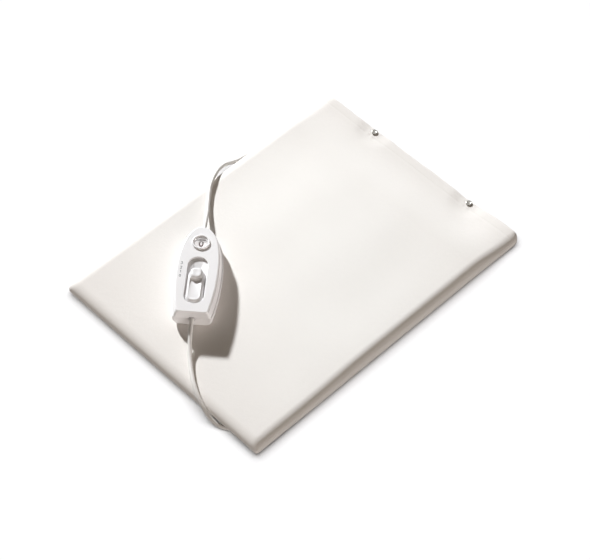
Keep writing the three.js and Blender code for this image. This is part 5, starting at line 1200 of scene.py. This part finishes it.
@dataclass
class Controller:
    """Housing, slide, window and level drum. Its own x runs from the mains end to the round end."""

    origin: tuple[float, float, float] = (-141.3, 11.6, 16.3)
    turn: float = 41.0
    length: float = 118.5
    half_width: float = 26.5
    widest_x: float = 55.0
    side_radius: float = 265.0
    tip_power: float = 2.2
    corner: float = 2.5
    front_share: float = 0.15
    face: float = 24.0
    parting: float = 11.0
    outset: float = 0.03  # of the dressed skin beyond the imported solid
    skin: float = 1.0
    base_round: float = 8.0
    recess: tuple[float, float, float, float] = (11.4, 73.0, 10.6, 21.3)
    groove_at: tuple[float, float, float] = (21.5, 22.7, 0.55)  # lower and upper height, and depth
    groove_clear: float = 0.8  # of the groove's cutter past the mains end
    window_x: float = 92.6
    bush_hole: float = 4.0
    screws: tuple = ((8.5, 10.2), (8.5, -10.2), (84.0, 13.4), (84.0, -13.4))
    knob: tuple[float, float, float] = (12.0, 57.32, 7.4)
    knob_lean: float = 2.2  # how far the knob's front leans back to its top
    knob_flare: float = 0.25  # share by which the knob's sides spread towards the recess floor
    knob_reach: float = 16  # length over which the lean fades
    knob_climb: float = 3.4  # height over which the knob leans and narrows
    knob_under: float = 21.6  # height of the knob's underside
    knob_edge: float = 24.4  # height of its plate's edge, and of the nub's foot
    knob_face: float = 25.3
    knob_skirt: float = 0.45  # inset of its upright side
    knob_round: tuple[float, float] = (0.9, 1.35)  # width of the rounding, and the inset where it ends
    trough: tuple[float, float, float] = (14.5, 27.5, 6.3)  # start, length and half width
    trough_depth: tuple[float, float, float] = (0.5, 2.1, 2.2)  # at the start, gained by the nub, and power
    trough_ends: tuple[float, float, float] = (13.5, 4, 43.4)  # where it opens, over what length, and its end
    no_trough: float = 60  # height that is above all else
    nub: tuple[float, float, float] = (49.6, 7.3, 6.8)  # middle, half length and half width
    nub_powers: tuple[float, float] = (2.8, 3.0)
    nub_height: float = 4.5
    nub_from: float = 24.5  # height over which the nub is blended in
    dish: tuple[float, float, float] = (49.8, 5.9, 5.2)
    dish_depth: float = 1.1
    knob_blends: tuple[float, float] = (0.3, 0.2)  # with the nub, and with the trough
    stem_cut: tuple[float, float] = (5.0, 21.9)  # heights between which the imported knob's stem is kept
    scoop: tuple[float, float, float, float] = (42.2, 5.4, 25.4, 2.2)  # x, half length, height and radius
    drum_height: float = 13.4
    drum_radius: float = 8.1

    def put(self, surface: Surface) -> Surface:
        """Return the surface moved from the controller's own place to the pad."""
        return surface.placed(self.origin, self.turn)

    def outline(self, inset: float, front: float) -> np.ndarray:
        """Housing outline: a straight mains end, bowed sides and a rounded tip.

        The side is the widest half width less the sagitta of the side's radius, and the tip is a power curve.

        Args:
            inset: how far the sides and the tip are drawn in.
            front: how far the mains end is drawn in.

        Returns:
            Rows of x and y.
        """
        def side(x: np.ndarray | float) -> np.ndarray | float:
            """Half width at a place along the housing."""
            return self.half_width - inset - (x - self.widest_x) ** 2 / (2 * self.side_radius)

        angle = np.linspace(np.pi / 2, 0, 11)
        shoulder = side(front + self.corner)
        edge = np.stack([front + self.corner * (1 - np.sin(angle)),
                         shoulder - self.corner * (1 - np.cos(angle))], axis=1)
        along = np.linspace(front + self.corner, self.widest_x, 30)[1:]
        bowed = np.stack([along, side(along)], axis=1)
        angle = np.linspace(0, np.pi / 2, 54)[1:-1]
        tip = np.stack([mix(self.widest_x, self.length - inset, np.sin(angle) ** (2 / self.tip_power)),
                        (self.half_width - inset) * np.cos(angle) ** (2 / self.tip_power)], axis=1)
        half = np.vstack([edge, bowed, tip])
        return np.vstack([half, [[self.length - inset, 0]], half[::-1] * [1, -1]])

    def rings(self, profile: Sequence[tuple[float, float, float]]) -> Surface:
        """Loft outlines up a profile of height, inset and wall."""
        rings = [level(self.outline(inset + wall, inset * self.front_share + wall), height)
                 for height, inset, wall in profile]
        return Surface.from_rings(np.array(rings))

    @staticmethod
    def arc(centre: tuple[float, float], radius: float, start: float, end: float,
            steps: int) -> list[tuple[float, float]]:
        """Lay points on part of a circle.

        Args:
            centre: height and inset of its centre.
            radius: its radius.
            start: first angle, in degrees from the height's direction.
            end: last angle.
            steps: number of steps.

        Returns:
            Pairs of height and inset.
        """
        angles = np.radians(np.linspace(start, end, steps + 1))
        return [(centre[0] + radius * math.cos(a), centre[1] - radius * math.sin(a)) for a in angles]

    def upper_skin(self) -> Surface:
        """Thin outer skin of the upper shell: lip, ledge, leaning side and rounded edge of the face."""
        low = self.parting + 0.15 - self.outset
        lip = [(low, 0.4), *self.arc((low + 0.4, 0.4), 0.4, 180, 90, 4)[1:], (12.8, 0.0),
               *self.arc((12.8, 0.4), 0.4, 90, 0, 4)[1:], (13.2, 1.25), (13.35, 1.34)]
        t = np.linspace(0, 1, 11)
        heights = 21.8 * (1 - t) ** 2 + 2 * t * (1 - t) * self.face + self.face * t**2
        insets = 3.61 * (1 - t) ** 2 + 2 * t * (1 - t) * 4.2 + 5.59 * t**2
        lean = [(h, mix(1.34, 3.61, (h - 13.35) / (21.8 - 13.35))) for h in np.linspace(14.0, 21.0, 8)]
        outside = [*lip, *lean, *zip(heights, insets), (self.face, 5.9), (self.face, 6.6)]
        outside = [(h + self.outset * (h > 20), i - self.outset, 0.0) for h, i in outside]
        inside = [(h, i, self.skin) for h, i in ((low, 0.4), (13.9, 1.5), (21.8, 3.7), (23.0, 5.2))]
        return self.rings(outside[::-1] + inside)

    def lower_skin(self) -> Surface:
        """Thin outer skin of the lower shell: lip, upright side and a round down to the base."""
        high = self.parting - 0.15 + self.outset
        r = self.base_round
        base = self.arc((r, r), r, 90, 180, 16)
        outside = [(high, 0.4), *self.arc((high - 0.4, 0.4), 0.4, 0, 90, 4)[1:], *base,
                   (0.0, r + 0.5), (0.0, r + 1.2)]
        outside = [(h - self.outset * (h < 4), i - self.outset, 0.0) for h, i in outside]
        inside = [(high, 0.4, self.skin), *((1 + h * (r - 1) / r, i, self.skin) for h, i in base)]
        return self.rings(outside[::-1] + inside)

    def groove(self) -> Surface:
        """Ring that is cut round the edge of the face."""
        low, high, deep = self.groove_at
        section = [(low, 0.0), (low, 3.7 + deep), (high, 4.4 + deep), (high, 0.0)]
        fronts = [inset * self.front_share if inset else -self.groove_clear for _, inset in section]
        rings = [level(self.outline(inset, front), height) for (height, inset), front in zip(section, fronts)]
        return Surface.from_rings(np.array(rings), along=True)

    def cord_holes(self) -> Surface:
        """Round holes through both end walls."""
        h = self.parting
        front = bar((-2, 0, h), (3.6, 0, h), self.bush_hole)
        back = bar((self.length - 3.6, 0, h), (self.length + 2, 0, h), self.bush_hole)
        return front.joined(back)

    def openings(self) -> Surface:
        """What is cut from the face: the slide's recess with a rounded lip, and the window's hole."""
        x0, x1, half, floor = self.recess
        lip = 0.7
        top = self.face + self.outset
        profile = [(floor - 0.03, 0.04), (top - lip, 0.04)]
        profile += [(top - lip + lip * math.sin(a), 0.04 + lip * (1 - math.cos(a)))
                    for a in np.linspace(0.2, np.pi / 2, 7)]
        profile.append((top + 3, 0.04 + lip))
        rings = [level(stadium(x0 - out, x1 + out, half + out, 40, 32), height) for height, out in profile]
        recess = Surface.from_rings(np.array(rings))
        return recess.joined(post(self.window_x, 0, 21.0, 26.0, 8.9, 96))

    def wells(self) -> Surface:
        """Wells for the heads of the housing screws."""
        return reduce(Surface.joined, [post(x, y, -1, 4.5, 2.2) for x, y in self.screws])

    def shells(self) -> None:
        """Make both shells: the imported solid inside, a smooth skin round it, and the openings cut anew."""
        shells = (
            ("housing_top", "controller_upper_shell", self.upper_skin(),
             (self.openings(), self.cord_holes(), self.groove())),
            ("housing_base", "controller_lower_shell", self.lower_skin(), (self.wells(), self.cord_holes())),
        )
        for name, node, skin, cuts in shells:
            steps = [("DIFFERENCE", self.put(hole).mesh("cut")) for hole in cuts]
            mesh = combined(self.put(skin).mesh(name), [("UNION", solid_copy(node)), *steps])
            made = piece(name, mesh, WHITE, Body.PAD, (node,), 38)
            made.modifiers.new("even shading", "WEIGHTED_NORMAL").keep_sharp = True

    def knob_top(self, x: np.ndarray, y: np.ndarray, inset: np.ndarray) -> np.ndarray:
        """Height of the slide knob: a rounded plate, a trough that deepens to the nub, and the nub's dish."""
        plate = mix(self.knob_edge, self.knob_face, round_edge(inset - self.knob_skirt, self.knob_round[0]))
        start, length, half = self.trough
        shallow, gain, power = self.trough_depth
        opening, widening, end = self.trough_ends
        along = np.clip((x - start) / length, 0, 1)
        across = np.sqrt(np.maximum(1 - (y / half) ** 2, 0)) * np.clip((x - opening) / widening, 0, 1) ** 0.5
        bed = self.knob_face - (shallow + gain * along**power) * across
        trough = np.where((x < end) & (across > 0), bed, self.no_trough)
        (middle, long, wide), (lengthways, sideways) = self.nub, self.nub_powers
        dome = 1 - np.abs((x - middle) / long) ** lengthways - np.abs(y / wide) ** sideways
        nub = self.knob_edge + self.nub_height * np.maximum(dome, 0) ** 0.5
        middle, long, wide = self.dish
        dish = 1 - ((x - middle) / long) ** 2 - (y / wide) ** 2
        nub = nub - self.dish_depth * np.maximum(dish, 0)
        on_nub, on_trough = self.knob_blends
        raised = -smooth_min(-plate, -nub, on_nub)
        return np.where(nub > self.nub_from, raised, smooth_min(plate, trough, on_trough))

    def slide_knob(self) -> None:
        """Make the slide knob: rings that go in from its edge, its stem, the hollow under the nub's front."""
        x0, x1, half = self.knob
        skirt = np.linspace(0, self.knob_skirt, 9)
        rounding = np.linspace(self.knob_skirt, self.knob_round[1], 7)
        inset = np.concatenate([skirt[:-1], rounding, np.linspace(1.5, half - 1e-6, 40)])
        loops = np.array([stadium(x0 + d, x1 - d, half - d, 200, 28) for d in inset])
        z = self.knob_top(loops[..., 0], loops[..., 1], inset[:, None])
        z[:8] = mix(self.knob_under, self.knob_edge, skirt[:-1] / self.knob_skirt)[:, None]
        side = (inset <= self.knob_round[1])[:, None]
        climb = np.clip((z - self.knob_under) / self.knob_climb, 0, 1) * side + ~side
        loops[..., 0] += self.knob_lean * climb * fade(loops[..., 0] - x0, self.knob_reach)
        loops[..., 1] *= 1 + self.knob_flare * (1 - climb)
        rings = np.concatenate([loops, z[..., None]], axis=-1)
        under = level(loops[-1], self.knob_under)[None]
        plate = Surface.from_rings(np.concatenate([under, rings]), caps=False)
        plan = stadium(x0 - 2, x1 + 2, 12, 8, 8)
        below = Surface.from_rings(np.array([level(plan, height) for height in self.stem_cut]))
        stem = combined(solid_copy("slide_knob"), [("INTERSECT", self.put(below).mesh("cut"))])
        x, reach, height, radius = self.scoop
        hollow = bar((x, -reach, height), (x, reach, height), radius)
        steps = [("UNION", stem), ("DIFFERENCE", self.put(hollow).mesh("cut"))]
        mesh = combined(self.put(plate).mesh("knob"), steps)
        piece("slide_knob_dressed", mesh, WHITE, Body.SLIDE, ("slide_knob",), 50)

    def window(self) -> None:
        """Make the raised ring and the domed lens."""
        crown = [(8.75 + 0.85 * math.cos(a), 25.2 + 0.8 * math.sin(a)) for a in np.linspace(0, np.pi, 15)]
        ring = [(6.6, 22.3), (8.6, 22.3), (8.6, 24.3), (9.6, 24.3), *crown, (7.9, 24.3), (6.6, 24.3)]
        place = (self.window_x, 0, 0)
        rim = self.put(lathe(ring, ring=True).placed(place))
        piece("window_rim", rim, WHITE, Body.PAD, ("window_ring",))
        share = np.linspace(1, 0, 25)
        dome = [(7.6 * s, 25.2 + 1.5 * (1 - s**2.5)) for s in share]
        lens = lathe([(0, 24.6), (7.6, 24.6), *dome]).placed(place)
        piece("window_glass", self.put(lens), LENS, Body.PAD, ("window_lens",))

    def bushes(self) -> None:
        """Make the collars round both cords where they leave the housing."""
        for name, inner, back in (("mains_cord_bush", 2.495, False), ("pad_cord_bush", 3.79, True)):
            curl = [(3.0 + 0.45 * math.cos(a), -0.35 + 0.4 * math.sin(a)) for a in np.linspace(-2.4, 0, 9)]
            profile = [(2.6, -0.3), *curl, (3.7, 0.1), (3.7, inner), (4.6, inner), (4.6, inner + 1.2),
                       (2.6, inner + 1.2)]
            made = lathe(profile, 64, ring=True)
            place = (self.length, 0, self.parting) if back else (0, 0, self.parting)
            local = made.placed(place, 180 if back else 0, forward=True)
            piece(f"{name}_dressed", self.put(local), GREY, Body.PAD, (name,))

    def build(self) -> None:
        """Make the controller's pieces."""
        self.shells()
        self.slide_knob()
        self.window()
        self.bushes()
        Digits(self).build()


@dataclass
class Digits:
    """Level numbers 0 to 3, printed on the drum and, small, beside the slide."""

    controller: Controller
    stroke: float = 1.45
    lean: float = 0.1  # radians that the drum's numbers lie past its top
    sample: float = 0.3  # distance between two points of a stroke
    drum_lift: float = 0.01  # of the print's underside above the drum
    print_height: float = 0.05
    mark_lift: float = 0.002
    mark_height: float = 0.03
    small: float = 0.4  # size of the marks beside the slide
    mark_xs: tuple = (46.7, 52.4, 57.7, 63.9)
    mark_y: float = 17.5

    def lines(self, number: int) -> list[tuple[np.ndarray, bool]]:
        """Centre lines of a number's strokes.

        Args:
            number: 0 to 3.

        Returns:
            Rows of right and up for each stroke, and whether it closes on itself.
        """
        if number == 0:
            turn = np.linspace(0, 2 * np.pi, 72, endpoint=False)
            return [(np.stack([1.95 * np.cos(turn), 3.5 * np.sin(turn)], axis=1), True)]
        if number == 1:
            strokes = [[(0.5, -4.15), (0.5, 0), (0.5, 4.1)], [(0.45, 4.0), (-0.5, 3.0), (-1.6, 2.5)]]
        elif number == 2:
            strokes = [[(-2.1, 2.3), (-1.6, 3.6), (0, 4.15), (1.7, 3.5), (2.1, 2.1), (1.3, 0.2), (-0.6, -2.0),
                        (-2.1, -4.1)], [(-2.2, -4.15), (0, -4.15), (2.3, -4.15)]]
        else:
            strokes = [[(-2.0, 3.0), (-1.0, 4.0), (0.7, 4.0), (1.9, 2.9), (1.5, 1.2), (-0.2, 0.35)],
                       [(-0.2, 0.35), (1.5, -0.1), (2.2, -1.9), (1.5, -3.6), (0, -4.15), (-1.4, -3.8),
                        (-2.2, -2.7)]]
        return [(through(stroke, self.sample), False) for stroke in strokes]

    @staticmethod
    def ribbon(line: np.ndarray, loop: bool, width: float) -> np.ndarray:
        """Lay a flat band along a stroke.

        Args:
            line: the stroke's points.
            loop: whether it closes on itself.
            width: the band's width.

        Returns:
            Four corners for each point, of right, up, and height 0 or 1.
        """
        if loop:
            ahead = np.roll(line, -1, axis=0) - np.roll(line, 1, axis=0)
        else:
            ahead = np.gradient(line, axis=0)
        ahead /= np.linalg.norm(ahead, axis=1, keepdims=True)
        across = np.stack([-ahead[:, 1], ahead[:, 0]], axis=1) * width / 2
        corners = [(line + across, 0.0), (line + across, 1.0), (line - across, 1.0), (line - across, 0.0)]
        return np.stack([level(place, height) for place, height in corners], axis=1)

    def on_drum(self, number: int, band: np.ndarray) -> np.ndarray:
        """Wrap a band round the drum, a quarter turn on for each level: angle is arc over radius."""
        c = self.controller
        angle = self.lean + number * np.pi / 2 + band[..., 1] / c.drum_radius
        radius = c.drum_radius + self.drum_lift + self.print_height * band[..., 2]
        return np.stack([c.window_x + radius * np.sin(angle), -band[..., 0],
                         c.drum_height + radius * np.cos(angle)], axis=-1)

    def beside_slide(self, number: int, band: np.ndarray) -> np.ndarray:
        """Lay a band flat on the face, at the number's place along the slide."""
        c = self.controller
        height = c.face + c.outset + self.mark_lift + self.mark_height * band[..., 2]
        return np.stack([self.mark_xs[number] + band[..., 1], self.mark_y - band[..., 0], height], axis=-1)

    def printed(self, scale: float, lay: Callable[[int, np.ndarray], np.ndarray]) -> Surface:
        """Print all numbers.

        Args:
            scale: size of the numbers.
            lay: puts a number's band in its place.

        Returns:
            All bands, on the pad.
        """
        parts = []
        for number in range(len(self.mark_xs)):
            for line, loop in self.lines(number):
                points = lay(number, self.ribbon(line * scale, loop, self.stroke * scale))
                parts.append(Surface.from_rings(points, along=loop, caps=not loop))
        return self.controller.put(reduce(Surface.joined, parts))

    def build(self) -> None:
        """Print all numbers."""
        drum = self.printed(1.0, self.on_drum)
        piece("drum_numbers", drum, INK, Body.DRUM, crease=60)
        marks = self.printed(self.small, self.beside_slide)
        piece("slide_numbers", marks, PALE_INK, Body.PAD, crease=60)


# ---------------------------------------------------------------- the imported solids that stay


def numbered(base: str, count: int) -> list[str]:
    """Names of numbered solids, from 1 on."""
    return [f"{base}_{number}" for number in range(1, count + 1)]


@dataclass(frozen=True)
class KeptSolids:
    """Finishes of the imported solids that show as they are."""

    finishes: tuple = (
        (NICKEL, (*numbered("thermal_cutout", 2), *numbered("stud_socket", 2), *numbered("stud_ball", 2),
                  *numbered("stud_rivet", 2), "detent_spring", "drum_axle", "glass_fuse",
                  *numbered("housing_screw", 4), *numbered("mains_clamp_screw", 2),
                  *numbered("pad_clamp_screw", 2), *numbered("plug_pin", 2))),
        (BRASS, ("contact_wiper", "contact_track_1", "contact_track_2")),
        (WHITE, ("pad_junction", "plug_body")),
        # the drum's finish glows with painted light
        (DRUM_WHITE_PAINTED_LIGHT, ("level_drum",)),
        (GREY, ("slide_carrier", "mains_cord_clamp", "pad_cord_clamp")),
        (WIRE, ("heating_wire",)),
        (BOARD, ("circuit_board",)),
        (YELLOW, ("capacitor",)),
        (BLACK, ("triac",)),
        (TAN, ("resistor",)),
        (LAMP, ("indicator_lamp",)),
        (TIE, ("hank_tie",)),
    )

    def build(self) -> None:
        """Give each solid its finish."""
        for finish, names in self.finishes:
            for name in names:
                for place in frame["nodes"][name].material_slots:
                    place.material = finish.material()
                LOG.info("%s: %s", name, finish.title)


def main() -> None:
    """Build everything in order."""
    logging.basicConfig(level=logging.INFO, format="%(message)s")
    studio = Studio()
    studio.camera()
    Cords().build()
    Pad().build()
    Controller().build()
    KeptSolids().build()
    floor = studio.floor()
    studio.world()
    studio.lamps(floor)
    studio.finish()


if __name__ == "__main__":
    main()
